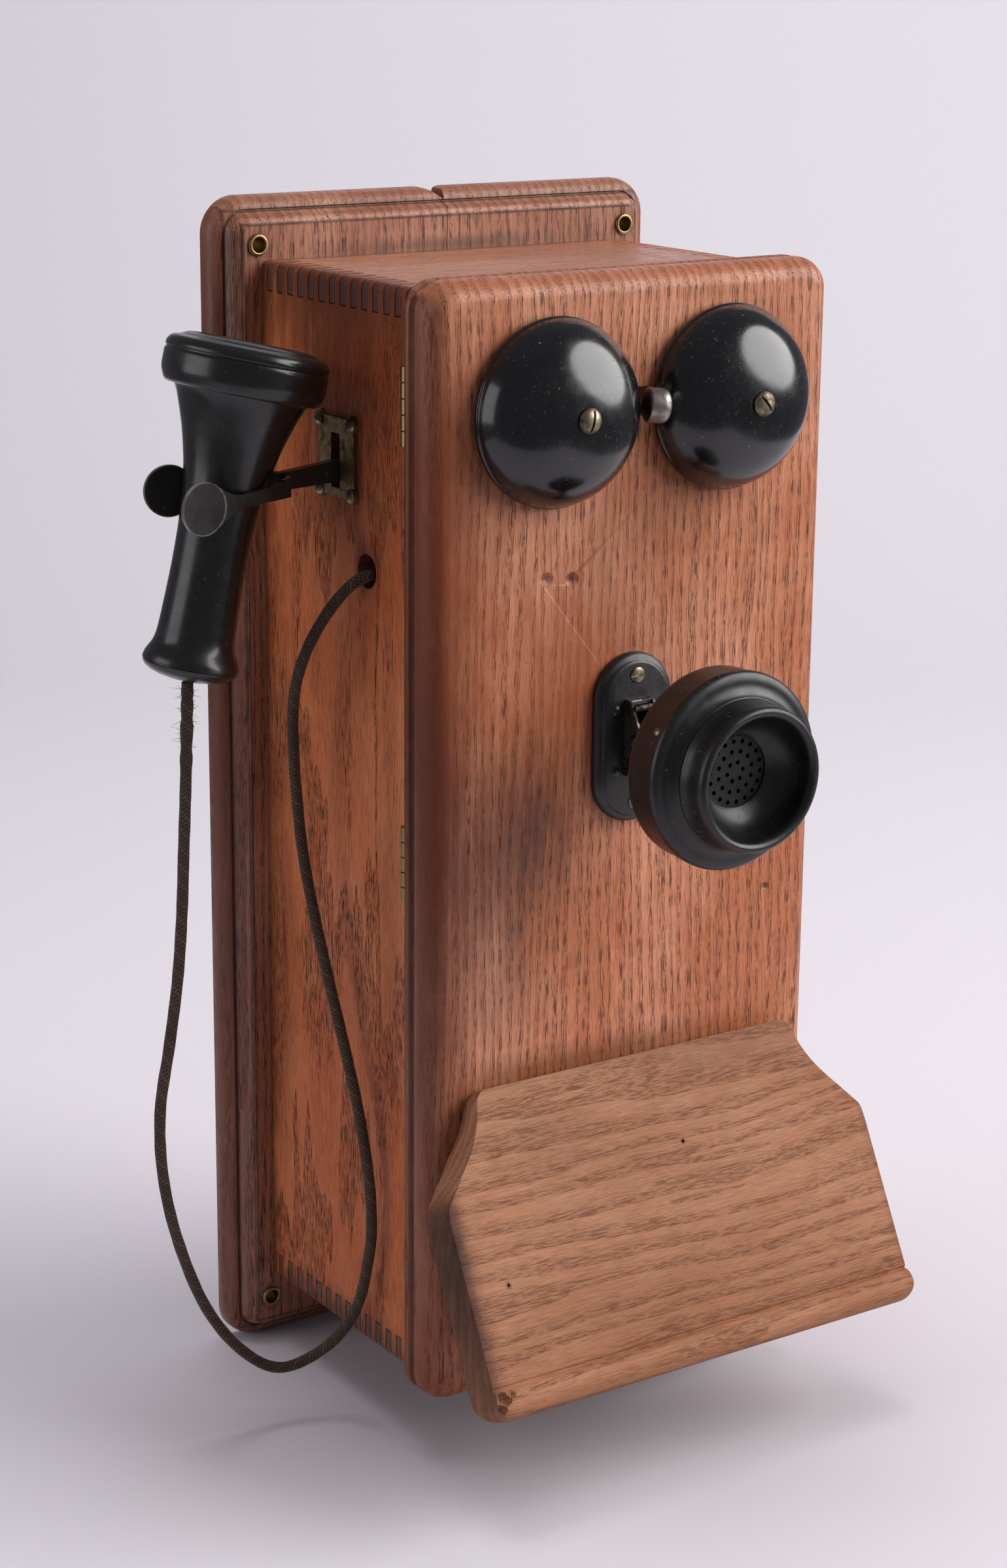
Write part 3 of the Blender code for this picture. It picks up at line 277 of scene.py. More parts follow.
def meshFrom(piece):
    bpy.context.view_layer.update()
    graph = bpy.context.evaluated_depsgraph_get()
    return bpy.data.meshes.new_from_object(piece.evaluated_get(graph))


def arc(centre, radius, start, end, steps):
    angles = [math.radians(start + (end - start) * i / steps) for i in range(steps + 1)]
    return [(centre[0] + radius * math.cos(a), centre[1] + radius * math.sin(a)) for a in angles]


def lookAlong(xAxis, yAxis, origin=(0, 0, 0)):
    xAxis, yAxis = Vector(xAxis).normalized(), Vector(yAxis).normalized()
    turn = Matrix((xAxis, yAxis, xAxis.cross(yAxis))).transposed().to_4x4()
    return Matrix.Translation(origin) @ turn


def onFront(x, y, z):
    return Matrix.Translation((x, y, z)) @ toFront


def asObject(bm, place=Matrix.Identity(4)):
    bmesh.ops.transform(bm, matrix=place, verts=bm.verts)
    mesh = bpy.data.meshes.new("tool")
    bm.to_mesh(mesh)
    bm.free()
    tool = bpy.data.objects.new("tool", mesh)
    bpy.context.scene.collection.objects.link(tool)
    return tool


def boxTool(low, high, place=Matrix.Identity(4)):
    low, high = Vector(low), Vector(high)
    bm = bmesh.new()
    bmesh.ops.create_cube(bm, size=1)
    bmesh.ops.scale(bm, vec=high - low, verts=bm.verts)
    bmesh.ops.translate(bm, vec=(low + high) / 2, verts=bm.verts)
    return asObject(bm, place)


def rodShape(start, end, radius, steps=32):
    start, end = Vector(start), Vector(end)
    bm = bmesh.new()
    bmesh.ops.create_cone(
        bm, cap_ends=True, segments=steps, radius1=radius, radius2=radius, depth=(end - start).length,
    )
    turn = Vector((0, 0, 1)).rotation_difference(end - start).to_matrix().to_4x4()
    bmesh.ops.transform(bm, matrix=Matrix.Translation((start + end) / 2) @ turn, verts=bm.verts)
    return bm


def rodTool(start, end, radius, steps=32):
    return asObject(rodShape(start, end, radius, steps))


def reshape(bm, tools, operation="DIFFERENCE"):
    piece = asObject(bm)
    for tool in tools:
        change = piece.modifiers.new("reshape", "BOOLEAN")
        change.operation = operation
        change.solver = "EXACT"
        change.object = tool
    mesh = meshFrom(piece)
    made = bmesh.new()
    made.from_mesh(mesh)
    for used in [piece, *tools]:
        bpy.data.objects.remove(used)
    bpy.data.meshes.remove(mesh)
    return made


def inMm(points):
    return [(x * mm, y * mm) for x, y in points]


def boreTool(x, z, back, front, radius):
    # a rod along Y through (x, z), from back to front, all in millimetres
    return rodTool((x * mm, back * mm, z * mm), (x * mm, front * mm, z * mm), radius * mm)


def copyShape(node):
    bm = bmesh.new()
    bm.from_mesh(nodes[node].data)
    bmesh.ops.remove_doubles(bm, verts=bm.verts, dist=touching)
    bmesh.ops.dissolve_limit(bm, angle_limit=math.radians(1), verts=bm.verts, edges=bm.edges)
    return bm


def copyPiece(name, node, material, body, soften, segments=2):
    # a CAD node's own shape with softened edges, the softening in millimetres
    return finishPiece(name, copyShape(node), material, body, [node], soften=soften * mm, segments=segments)


def turnedPiece(name, node, profile, steps, material, body, place, closed=False):
    return finishPiece(name, turnedShape(profile, steps, closed), material, body, [node], place=place)


# shader helpers

def put(tree, socket, value):
    if isinstance(value, bpy.types.NodeSocket):
        tree.links.new(value, socket)
    elif isinstance(value, tuple) and socket.type == "RGBA" and len(value) == 3:
        socket.default_value = (*value, 1)
    else:
        socket.default_value = value


def add(tree, kind, inputs, **settings):
    made = tree.nodes.new("ShaderNode" + kind)
    for key, value in settings.items():
        setattr(made, key, value)
    for key, value in inputs.items():
        put(tree, made.inputs[key], value)
    return made


def speckle(tree, place, scale, detail=2.0, roughness=0.5):
    made = add(tree, "TexNoise", {"Vector": place, "Scale": scale, "Detail": detail, "Roughness": roughness})
    return made.outputs["Fac"]


def sums(tree, operation, a, b=0.0, clamp=False):
    return add(tree, "Math", {0: a, 1: b}, operation=operation, use_clamp=clamp).outputs[0]


def plus(tree, a, b, clamp=False):
    return sums(tree, "ADD", a, b, clamp)


def minus(tree, a, b):
    return sums(tree, "SUBTRACT", a, b)


def times(tree, a, b, clamp=False):
    return sums(tree, "MULTIPLY", a, b, clamp)


def between(tree, value, low, high, start=0.0, end=1.0):
    made = add(
        tree, "MapRange",
        {"Value": value, "From Min": low, "From Max": high, "To Min": start, "To Max": end},
        interpolation_type="SMOOTHSTEP",
    )
    return made.outputs["Result"]


def blended(tree, amount, a, b, way="MIX"):
    made = add(tree, "Mix", {}, data_type="RGBA", blend_type=way, clamp_factor=True)
    put(tree, made.inputs[0], amount)
    put(tree, made.inputs[6], a)
    put(tree, made.inputs[7], b)
    return made.outputs[2]


def stretched(tree, place, scale, turn=(0, 0, 0), shift=(0, 0, 0)):
    made = add(tree, "Mapping", {"Vector": place, "Location": shift, "Rotation": turn, "Scale": scale})
    return made.outputs["Vector"]


def vectorSums(tree, operation, a, b):
    return add(tree, "VectorMath", {0: a, 1: b}, operation=operation).outputs["Vector"]


def lengthOf(tree, vector):
    return add(tree, "VectorMath", {0: vector}, operation="LENGTH").outputs["Value"]


def newGroup(name, inputs, outputs):
    group = bpy.data.node_groups.new(name, "ShaderNodeTree")
    for label, kind, value in inputs:
        socket = group.interface.new_socket(name=label, in_out="INPUT", socket_type="NodeSocket" + kind)
        if value is not None:
            socket.default_value = value
    for label, kind in outputs:
        group.interface.new_socket(name=label, in_out="OUTPUT", socket_type="NodeSocket" + kind)
    return group, group.nodes.new("NodeGroupInput").outputs, group.nodes.new("NodeGroupOutput").inputs


def useGroup(tree, group, **values):
    made = tree.nodes.new("ShaderNodeGroup")
    made.node_tree = group
    for key, value in values.items():
        put(tree, made.inputs[key], value)
    return made.outputs


def makeOakGrain():
    # Place has the grain along its Y; pores are long dark streaks gathered in rings
    tree, given, out = newGroup(
        "oakGrain",
        [("Place", "Vector", None), ("Pale", "Color", None), ("Warm", "Color", None),
         ("Dark", "Color", None), ("Pores", "Float", 0.8)],
        [("Color", "Color"), ("Pore", "Float"), ("Height", "Float")],
    )
    place = given["Place"]
    wander = speckle(tree, stretched(tree, place, (1, 0.3, 1)), 11, 2)
    drift = times(tree, minus(tree, wander, 0.5), 0.024)
    bent = vectorSums(tree, "ADD", place, add(tree, "CombineXYZ", {"X": drift}).outputs[0])
    rings = add(tree, "TexWave", {
        "Vector": stretched(tree, bent, (1, 0.05, 0.6)), "Scale": 62.0, "Distortion": 7.0, "Detail": 2.0,
        "Detail Scale": 1.4, "Detail Roughness": 0.6,
    }, wave_type="BANDS", bands_direction="X", wave_profile="SAW").outputs["Fac"]
    ringMask = between(tree, rings, 0.15, 0.85)
    longPores = between(tree, speckle(tree, stretched(tree, bent, (1, 0.05, 1)), 2100, 1.2), 0.53, 0.60)
    shortPores = between(tree, speckle(tree, stretched(tree, bent, (1, 0.08, 1)), 3000, 1), 0.555, 0.62)
    fibres = speckle(tree, stretched(tree, bent, (1, 0.02, 1)), 2900, 2)
    blotch = speckle(tree, stretched(tree, place, (1, 0.45, 1)), 17, 3, 0.6)
    flecks = speckle(tree, stretched(tree, place, (1, 0.32, 1), turn=(0, 0, 0.35)), 330, 1)
    flecks = between(tree, flecks, 0.6, 0.72)
    fleckArea = between(tree, speckle(tree, place, 13, 1), 0.46, 0.66)
    pore = times(tree, longPores, between(tree, ringMask, 0, 1, 0.35, 1))
    pore = sums(tree, "MAXIMUM", pore, times(tree, shortPores, between(tree, ringMask, 0.2, 1, 0.15, 0.8)))
    colour = blended(tree, between(tree, blotch, 0.36, 0.66), given["Pale"], given["Warm"])
    late = blended(tree, 0.45, given["Warm"], given["Dark"])
    colour = blended(tree, times(tree, ringMask, 0.34), colour, late)
    colour = blended(tree, times(tree, times(tree, flecks, fleckArea), 0.4), colour, given["Pale"])
    grey = between(tree, fibres, 0.25, 0.75, 0.34, 0.66)
    streaks = add(tree, "CombineColor", {0: grey, 1: grey, 2: grey}).outputs[0]
    colour = blended(tree, 0.5, colour, streaks, "OVERLAY")
    strength = times(tree, pore, given["Pores"], clamp=True)
    put(tree, out["Color"], blended(tree, strength, colour, given["Dark"]))
    put(tree, out["Pore"], pore)
    put(tree, out["Height"], minus(tree, times(tree, fibres, 0.25), pore))
    return tree


def makeSoftSpot():
    # 1 at the centre of an ellipsoid, 0 outside it
    tree, given, out = newGroup(
        "softSpot",
        [("Place", "Vector", None), ("Centre", "Vector", None), ("Radii", "Vector", (1, 1, 1)),
         ("Ragged", "Float", 0.0)],
        [("Mask", "Float")],
    )
    away = vectorSums(tree, "SUBTRACT", given["Place"], given["Centre"])
    away = vectorSums(tree, "DIVIDE", away, given["Radii"])
    far = lengthOf(tree, away)
    ragged = speckle(tree, stretched(tree, given["Place"], (1, 1, 0.25)), 130, 3)
    rough = times(tree, minus(tree, ragged, 0.5), given["Ragged"])
    put(tree, out["Mask"], between(tree, plus(tree, far, rough), 1.0, 0.0))
    return tree


def makeNearRim():
    # 1 at the rim of a box centred on the place's origin, 0 past its reach
    tree, given, out = newGroup(
        "nearRim",
        [("Place", "Vector", None), ("Half", "Vector", None), ("Reach", "Float", 0.01)],
        [("Mask", "Float"), ("Distance", "Float")],
    )
    folded = add(tree, "VectorMath", {0: given["Place"]}, operation="ABSOLUTE").outputs["Vector"]
    parts = add(tree, "SeparateXYZ", {0: vectorSums(tree, "SUBTRACT", given["Half"], folded)}).outputs
    nearest = sums(tree, "MINIMUM", sums(tree, "MINIMUM", parts[0], parts[1]), parts[2])
    put(tree, out["Distance"], nearest)
    uneven = times(tree, minus(tree, speckle(tree, given["Place"], 60, 3), 0.5), given["Reach"])
    put(
        tree, out["Mask"],
        between(tree, sums(tree, "DIVIDE", plus(tree, nearest, uneven), given["Reach"]), 1.0, 0.0),
    )
    return tree


def makeWear():
    # fine dust, larger specks and thin scratches, as three masks
    tree, given, out = newGroup(
        "wear",
        [("Place", "Vector", None), ("Amount", "Float", 0.5)],
        [("Dust", "Float"), ("Specks", "Float"), ("Scratches", "Float"), ("Smear", "Float")],
    )
    place, amount = given["Place"], given["Amount"]
    patches = speckle(tree, place, 45, 4, 0.6)
    fine = between(tree, speckle(tree, place, 900, 3, 0.7), 0.5, 0.8)
    put(tree, out["Dust"], times(tree, times(tree, fine, between(tree, patches, 0.4, 0.75)), amount))
    put(tree, out["Specks"], times(tree, between(tree, speckle(tree, place, 420, 1), 0.755, 0.79), amount))
    along = speckle(tree, stretched(tree, place, (1, 0.04, 0.3), turn=(0.3, 0.5, 0.8)), 1300, 1)
    across = speckle(tree, stretched(tree, place, (0.3, 0.05, 1), turn=(0.7, -0.4, -0.6)), 1500, 1)
    lines = sums(tree, "MAXIMUM", between(tree, along, 0.735, 0.77), between(tree, across, 0.74, 0.77))
    put(tree, out["Scratches"], times(tree, lines, amount))
    put(tree, out["Smear"], speckle(tree, stretched(tree, place, (1, 0.5, 1)), 130, 4, 0.6))
    return tree


print("building shader groups")
oakGrain = makeOakGrain()
softSpot = makeSoftSpot()
nearRim = makeNearRim()
wear = makeWear()


# materials

def setShader(tree, shader, values):
    for label, value in values.items():
        put(tree, shader.inputs[label], value)


def newMaterial(name):
    material = bpy.data.materials.new(name)
    material.use_nodes = True
    tree = material.node_tree
    shader = tree.nodes["Principled BSDF"]
    place = add(tree, "TexCoord", {}).outputs["Object"]
    return material, tree, shader, place


def bump(tree, shader, height, strength, distance):
    made = add(tree, "Bump", {"Strength": strength, "Distance": distance, "Height": height})
    put(tree, shader.inputs["Normal"], made.outputs["Normal"])


alongZ = (math.pi / 2, 0, 0)  # brings a piece's Z to the grain's Y
alongX = (0, 0, math.pi / 2)

# a look's marks are stains, knocks and painted shade: centre, how far each reaches, strength, colour and
# raggedness
oakLooks = {
    "doorOak": {
        "turn": alongZ, "shift": (0.31, 0.12, 0.0), "pale": (0.66, 0.285, 0.165),
        "warm": (0.48, 0.155, 0.065), "dark": (0.075, 0.020, 0.009),
        "pores": 0.92, "shine": 0.36, "coat": 0.08, "specular": 0.30,
        "rim": {
            "centre": (0, -0.150, 0.00215), "half": (0.09955, 0.06, 0.23635), "reach": 0.011,
            "colour": (0.13, 0.034, 0.012), "amount": 0.60,
        },
        "grooves": [
            {"at": -0.1448, "width": 0.0026, "amount": 0.85},
            {"at": -0.1405, "width": 0.0016, "amount": 0.7},
        ],
        "marks": [
            # painted shade: the door's left edge, turned away from the key, and the strip of face beside it
            ((-0.097, -0.16, 0.02), (0.034, 0.05, 0.32), 0.93, (0.12, 0.022, 0.005), 0.45),
            # painted shade: deeper orange left of the left gong, where the varnish shows no sheen
            ((-0.082, -0.16, 0.16), (0.040, 0.05, 0.13), 0.50, (0.24, 0.052, 0.014), 0.6),
            # painted shade: deeper orange over the left of the face and beside the transmitter, where the
            # varnish shows no sheen
            ((-0.030, -0.16, 0.075), (0.070, 0.05, 0.075), 0.75, (0.29, 0.068, 0.019), 0.8),
            ((-0.060, -0.16, 0.006), (0.040, 0.05, 0.062), 0.56, (0.10, 0.034, 0.019), 1.0),
            ((-0.047, -0.16, 0.016), (0.019, 0.05, 0.034), 0.46, (0.07, 0.024, 0.014), 0.8),
            ((-0.066, -0.16, -0.050), (0.030, 0.05, 0.055), 0.36, (0.13, 0.045, 0.026), 1.0),
            ((-0.0444, -0.16, 0.1177), (0.0040, 0.02, 0.0046), 0.78, (0.07, 0.022, 0.011), 0.3),
            ((-0.0322, -0.16, 0.1164), (0.0042, 0.02, 0.0042), 0.78, (0.07, 0.022, 0.011), 0.3),
            ((0.0732, -0.16, -0.0311), (0.003, 0.02, 0.003), 0.7, (0.05, 0.02, 0.01), 0.3),
            # painted shadow under the gongs
            ((0.0, -0.16, 0.140), (0.080, 0.05, 0.030), 0.30, (0.20, 0.055, 0.020), 0.8),
            # painted shade along the crease where the shelf meets the door
            ((-0.02, -0.16, -0.092), (0.11, 0.05, 0.014), 0.50, (0.15, 0.050, 0.022), 0.8),
            # painted shade under the shelf, on the door's lower left
            ((-0.080, -0.16, -0.150), (0.025, 0.05, 0.06), 0.35, (0.14, 0.05, 0.03), 0.8),
        ],
    },
    "sideOak": {
        "turn": alongZ, "shift": (0.77, 0.4, 0.2), "pale": (0.66, 0.205, 0.078),
        "warm": (0.52, 0.130, 0.036), "dark": (0.060, 0.016, 0.007),
        "pores": 0.95, "shine": 0.36, "coat": 0.0, "specular": 0.2,
        "rim": {
            "centre": (0, -0.079, 0.003), "half": (0.3, 0.0607, 0.231), "reach": 0.010,
            "colour": (0.12, 0.032, 0.012), "amount": 0.62,
        },
        "grooves": [],
        "marks": [
            ((-0.093, -0.079, 0.228), (0.05, 0.13, 0.034), 0.92, (0.055, 0.017, 0.009), 0.7),
            ((-0.093, -0.079, -0.222), (0.05, 0.075, 0.014), 0.62, (0.05, 0.018, 0.01), 0.9),
            # a deeper colour and painted shade from the receiver on the side's upper part
            ((-0.093, -0.079, 0.19), (0.03, 0.08, 0.12), 0.78, (0.18, 0.036, 0.008), 0.6),
            # painted shade in and round the cord's hole
            ((-0.093, -0.101, 0.118), (0.02, 0.014, 0.018), 0.85, (0.03, 0.011, 0.007), 0.5),
            # painted shade round the hook's slot plate, under the receiver
            ((-0.093, -0.0795, 0.16), (0.02, 0.026, 0.030), 0.75, (0.05, 0.017, 0.009), 0.6),
            # painted shade in a strip along the door's edge
            ((-0.093, -0.118, -0.03), (0.02, 0.016, 0.13), 0.35, (0.10, 0.03, 0.013), 1.0),
            # painted shade in a strip along the corner with the backboard
            ((-0.093, -0.030, -0.06), (0.02, 0.018, 0.26), 0.45, (0.09, 0.026, 0.011), 0.9),
        ],
    },
    "endOak": {
        "turn": alongX, "shift": (0.15, 0.83, 0.1), "pale": (0.34, 0.150, 0.088),
        "warm": (0.28, 0.105, 0.052), "dark": (0.085, 0.030, 0.016),
        "pores": 0.62, "shine": 0.36, "coat": 0.2, "specular": 0.4,
        "rim": {
            "centre": (0, -0.079, 0.003), "half": (0.0929, 0.0607, 0.5), "reach": 0.010,
            "colour": (0.10, 0.032, 0.014), "amount": 0.75,
        },
        "grooves": [],
        "marks": [
            ((-0.093, -0.079, 0.228), (0.013, 0.13, 0.034), 0.92, (0.040, 0.013, 0.008), 0.7),
            ((-0.093, -0.079, -0.224), (0.008, 0.09, 0.018), 0.72, (0.034, 0.012, 0.007), 0.9),
        ],
    },
    "backOak": {
        "turn": alongZ, "shift": (0.52, 0.9, 0.6), "pale": (0.46, 0.20, 0.118),
        "warm": (0.33, 0.115, 0.058), "dark": (0.045, 0.016, 0.009),
        "pores": 0.92, "shine": 0.42, "coat": 0.12, "specular": 0.4,
        "rim": {
            "centre": (0, -0.009, 0), "half": (0.1127, 0.3, 0.26), "reach": 0.011,
            "colour": (0.14, 0.048, 0.024), "amount": 0.62,
        },
        "grooves": [
            {"rim": 0.0059, "width": 0.0013, "amount": 0.85},
            {"rim": 0.0112, "width": 0.0012, "amount": 0.85},
            {"rim": 0.0080, "width": 0.0014, "amount": 0.45},
        ],
        "marks": [
            # painted shade on the backboard's left edge and the field beside the box, turned away from the
            # key
            ((-0.1127, -0.009, 0.0), (0.018, 0.04, 0.40), 0.70, (0.10, 0.020, 0.006), 0.7),
            ((-0.0946, -0.018, 0.2405), (0.009, 0.03, 0.009), 0.7, (0.06, 0.024, 0.013), 0.4),
            ((0.0946, -0.018, 0.2405), (0.009, 0.03, 0.009), 0.7, (0.06, 0.024, 0.013), 0.4),
            ((-0.0946, -0.018, -0.2378), (0.009, 0.03, 0.009), 0.7, (0.06, 0.024, 0.013), 0.4),
            # painted shade in the corner where the box's top meets the backboard
            ((0.0, -0.018, 0.2365), (0.092, 0.02, 0.0050), 0.6, (0.06, 0.022, 0.012), 1.0),
        ],
    },
    "shelfOak": {
        "turn": alongX, "shift": (0.9, 0.2, 0.7), "pale": (0.400, 0.182, 0.098),
        "warm": (0.330, 0.136, 0.068), "dark": (0.11, 0.040, 0.021),
        "pores": 0.66, "shine": 0.56, "coat": 0.0, "specular": 0.2,
        "rim": {
            "centre": (0, -0.197, -0.15), "half": (0.109, 0.3, 0.06), "reach": 0.005,
            "colour": (0.16, 0.070, 0.038), "amount": 0.45,
        },
        "grooves": [],
        "marks": [
            ((-0.0898, -0.207, -0.1617), (0.0024, 0.01, 0.0024), 0.8, (0.03, 0.015, 0.01), 0.2),
            ((0.0115, -0.186, -0.1274), (0.0020, 0.01, 0.0020), 0.85, (0.03, 0.015, 0.01), 0.2),
            # painted shade near the shelf's joint with the door, in this mark and the next
            ((-0.055, -0.175, -0.115), (0.05, 0.04, 0.02), 0.22, (0.16, 0.07, 0.04), 0.9),
            ((0.05, -0.17, -0.098), (0.06, 0.03, 0.012), 0.30, (0.16, 0.07, 0.04), 0.9),
            # end grain, and painted shade, on the shelf's left end, which faces away from the key
            ((-0.112, -0.20, -0.15), (0.014, 0.09, 0.10), 0.94, (0.030, 0.010, 0.005), 0.5),
        ],
    },
}


oakFinish = {
    "grooveDirtAndShade": (0.030, 0.014, 0.010), "wear": 0.5, "specks": 0.5, "poreRough": 0.22, "coatRough": 0.22,
    "relief": 0.34, "depth": 0.30 * mm,
}


def grooveMask(tree, place, distance, groove):
    # dirt and painted shade lying in a moulding's grooves, at a distance in from the rim or at a depth down
    # the edge
    if "rim" in groove:
        off = sums(tree, "ABSOLUTE", minus(tree, distance, groove["rim"]))
        near = 1.0
    else:
        depth = add(tree, "SeparateXYZ", {0: place}).outputs[1]
        off = sums(tree, "ABSOLUTE", minus(tree, depth, groove["at"]))
        near = between(tree, distance, 0.0045, 0.0025)
    patchy = between(tree, speckle(tree, place, 90, 3), 0.25, 0.65, 0.6, 1.0)
    line = times(tree, between(tree, off, groove["width"], 0.15 * groove["width"]), near)
    return times(tree, times(tree, line, patchy), groove["amount"])


def oakMaterial(name):
    values = oakLooks[name]
    material, tree, shader, place = newMaterial(name)
    grain = useGroup(
        tree, oakGrain, Place=stretched(tree, place, (1, 1, 1), turn=values["turn"], shift=values["shift"]),
        Pale=values["pale"], Warm=values["warm"], Dark=values["dark"], Pores=values["pores"],
    )
    rim = values["rim"]
    edge = useGroup(
        tree, nearRim, Place=vectorSums(tree, "SUBTRACT", place, rim["centre"]), Reach=rim["reach"],
        Half=rim["half"],
    )
    colour = blended(tree, times(tree, edge["Mask"], rim["amount"]), grain["Color"], rim["colour"])
    # each mark blends the wood towards its colour: stains, knocks and painted shade
    for centre, size, amount, markColour, ragged in values["marks"]:
        spot = useGroup(tree, softSpot, Place=place, Centre=centre, Radii=size, Ragged=ragged)["Mask"]
        colour = blended(tree, times(tree, spot, amount), colour, markColour)
    # dirt and painted shade in the moulding's grooves
    for groove in values["grooves"]:
        colour = blended(
            tree, grooveMask(tree, place, edge["Distance"], groove), colour, oakFinish["grooveDirtAndShade"],
        )
    marks = useGroup(tree, wear, Place=place, Amount=oakFinish["wear"])
    colour = blended(tree, times(tree, marks["Specks"], oakFinish["specks"]), colour, values["dark"])
    gloss = between(tree, marks["Smear"], 0.3, 0.7, values["shine"] - 0.06, values["shine"] + 0.10)
    gloss = plus(tree, gloss, times(tree, grain["Pore"], oakFinish["poreRough"]), clamp=True)
    setShader(
        tree, shader, {"Base Color": colour, "Roughness": gloss, "Specular IOR Level": values["specular"]},
    )
    if values["coat"]:
        setShader(tree, shader, {"Coat Weight": values["coat"], "Coat Roughness": oakFinish["coatRough"]})
    bump(tree, shader, grain["Height"], oakFinish["relief"], oakFinish["depth"])
    return material


blackFinish = {
    "dust": 0.30, "specks": 0.75, "scratches": 0.35, "coatRough": 0.12, "relief": 0.12, "depth": 0.3 * mm,
}

blackLooks = {
    "gongEnamel": {
        "base": (0.0045, 0.0046, 0.0058), "shine": 0.15, "spread": 0.10, "dust": 0.62,
        "dustColour": (0.20, 0.18, 0.16), "coat": 0.3, "ripple": 0.05,
    },
    "cupEnamel": {
        "base": (0.0058, 0.0054, 0.0056), "shine": 0.30, "spread": 0.14, "dust": 0.50,
        "dustColour": (0.15, 0.12, 0.10), "coat": 0.0, "ripple": 0.07,
    },
    "plateEnamel": {
        "base": (0.0080, 0.0074, 0.0072), "shine": 0.32, "spread": 0.16, "dust": 0.75,
        "dustColour": (0.18, 0.13, 0.09), "coat": 0.1, "ripple": 0.08,
    },
    "hardRubber": {
        "base": (0.0062, 0.0060, 0.0060), "shine": 0.24, "spread": 0.14, "dust": 0.45,
        "dustColour": (0.13, 0.11, 0.09), "coat": 0.2, "ripple": 0.05,
    },
    "leverLacquer": {
        "base": (0.0120, 0.0112, 0.0115), "shine": 0.30, "spread": 0.18, "dust": 0.75,
        "dustColour": (0.17, 0.13, 0.10), "coat": 0.1, "ripple": 0.12,
        "worn": {
            "across": (-0.080, -0.079), "middles": (-0.168, -0.1605), "height": 0.149,
            "inner": (0.0100, 0.0105), "outer": (0.0112, 0.0109), "colour": (0.20, 0.17, 0.13),
        },
    },
}


def blackMaterial(name):
    values = blackLooks[name]
    material, tree, shader, place = newMaterial(name)
    marks = useGroup(tree, wear, Place=place, Amount=values["dust"])
    colour = values["base"]
    for mask, strength in (("Dust", "dust"), ("Specks", "specks"), ("Scratches", "scratches")):
        colour = blended(tree, times(tree, marks[mask], blackFinish[strength]), colour, values["dustColour"])
    if "worn" in values:
        # bare metal in a ring round each paddle, measured in the plane they lie in
        worn = values["worn"]
        parts = add(tree, "SeparateXYZ", {0: place}).outputs
        middle = between(tree, parts[1], *worn["across"], *worn["middles"])
        across, up = minus(tree, parts[0], middle), minus(tree, parts[2], worn["height"])
        off = add(tree, "CombineXYZ", {0: across, 1: 0.0, 2: up}).outputs[0]
        far = lengthOf(tree, off)
        ring = times(tree, between(tree, far, *worn["inner"]), between(tree, far, *worn["outer"]))
        ring = times(tree, ring, between(tree, marks["Smear"], 0.35, 0.6, 0.2, 1.0))
        colour = blended(tree, ring, colour, worn["colour"])
    gloss = between(tree, marks["Smear"], 0.3, 0.75, values["shine"], values["shine"] + values["spread"])
    dulled = times(tree, plus(tree, marks["Dust"], marks["Scratches"]), blackFinish["scratches"])
    gloss = plus(tree, gloss, dulled, clamp=True)
    setShader(tree, shader, {"Base Color": colour, "Roughness": gloss})
    setShader(tree, shader, {"Coat Weight": values["coat"], "Coat Roughness": blackFinish["coatRough"]})
    height = minus(tree, times(tree, marks["Smear"], values["ripple"] * 4), marks["Scratches"])
    bump(tree, shader, height, blackFinish["relief"], blackFinish["depth"])
    return material


metalLooks = {
    "oldBrass": {
        "base": (0.34, 0.235, 0.11), "markColour": (0.085, 0.056, 0.025), "shine": 0.36, "cover": (0.34, 0.70),
    },
    "darkBrass": {
        "base": (0.34, 0.235, 0.095), "markColour": (0.12, 0.080, 0.036), "shine": 0.34, "cover": (0.50, 0.82),
    },
    "screwMetal": {
        "base": (0.33, 0.28, 0.20), "markColour": (0.085, 0.062, 0.040), "shine": 0.38, "cover": (0.36, 0.68),
    },
    "wornNickel": {
        "base": (0.34, 0.31, 0.29), "markColour": (0.12, 0.095, 0.080), "shine": 0.36, "cover": (0.36, 0.74),
    },
    "darkSteel": {
        "base": (0.16, 0.15, 0.145), "markColour": (0.03, 0.024, 0.02), "shine": 0.38, "cover": (0.34, 0.64),
    },
    "plainSteel": {
        "base": (0.42, 0.40, 0.38), "markColour": (0.12, 0.09, 0.07), "shine": 0.36, "cover": (0.45, 0.78),
    },
    "tinPlate": {
        "base": (0.46, 0.46, 0.45), "markColour": (0.20, 0.18, 0.15), "shine": 0.42, "cover": (0.42, 0.72),
    },
}


def metalMaterial(name):
    values = metalLooks[name]
    material, tree, shader, place = newMaterial(name)
    marks = useGroup(tree, wear, Place=place, Amount=0.8)
    cloud = speckle(tree, place, 210, 5, 0.65)
    cover = between(tree, cloud, *values["cover"])
    colour = blended(tree, cover, values["base"], values["markColour"])
    bright = tuple(1.4 * c for c in values["base"])
    colour = blended(tree, times(tree, marks["Scratches"], 0.5), colour, bright)
    gloss = between(tree, cover, 0, 1, values["shine"], values["shine"] + 0.28)
    setShader(tree, shader, {"Base Color": colour, "Metallic": 1.0, "Roughness": gloss})
    bump(tree, shader, plus(tree, cloud, marks["Scratches"]), 0.08, 0.0002)
    return material


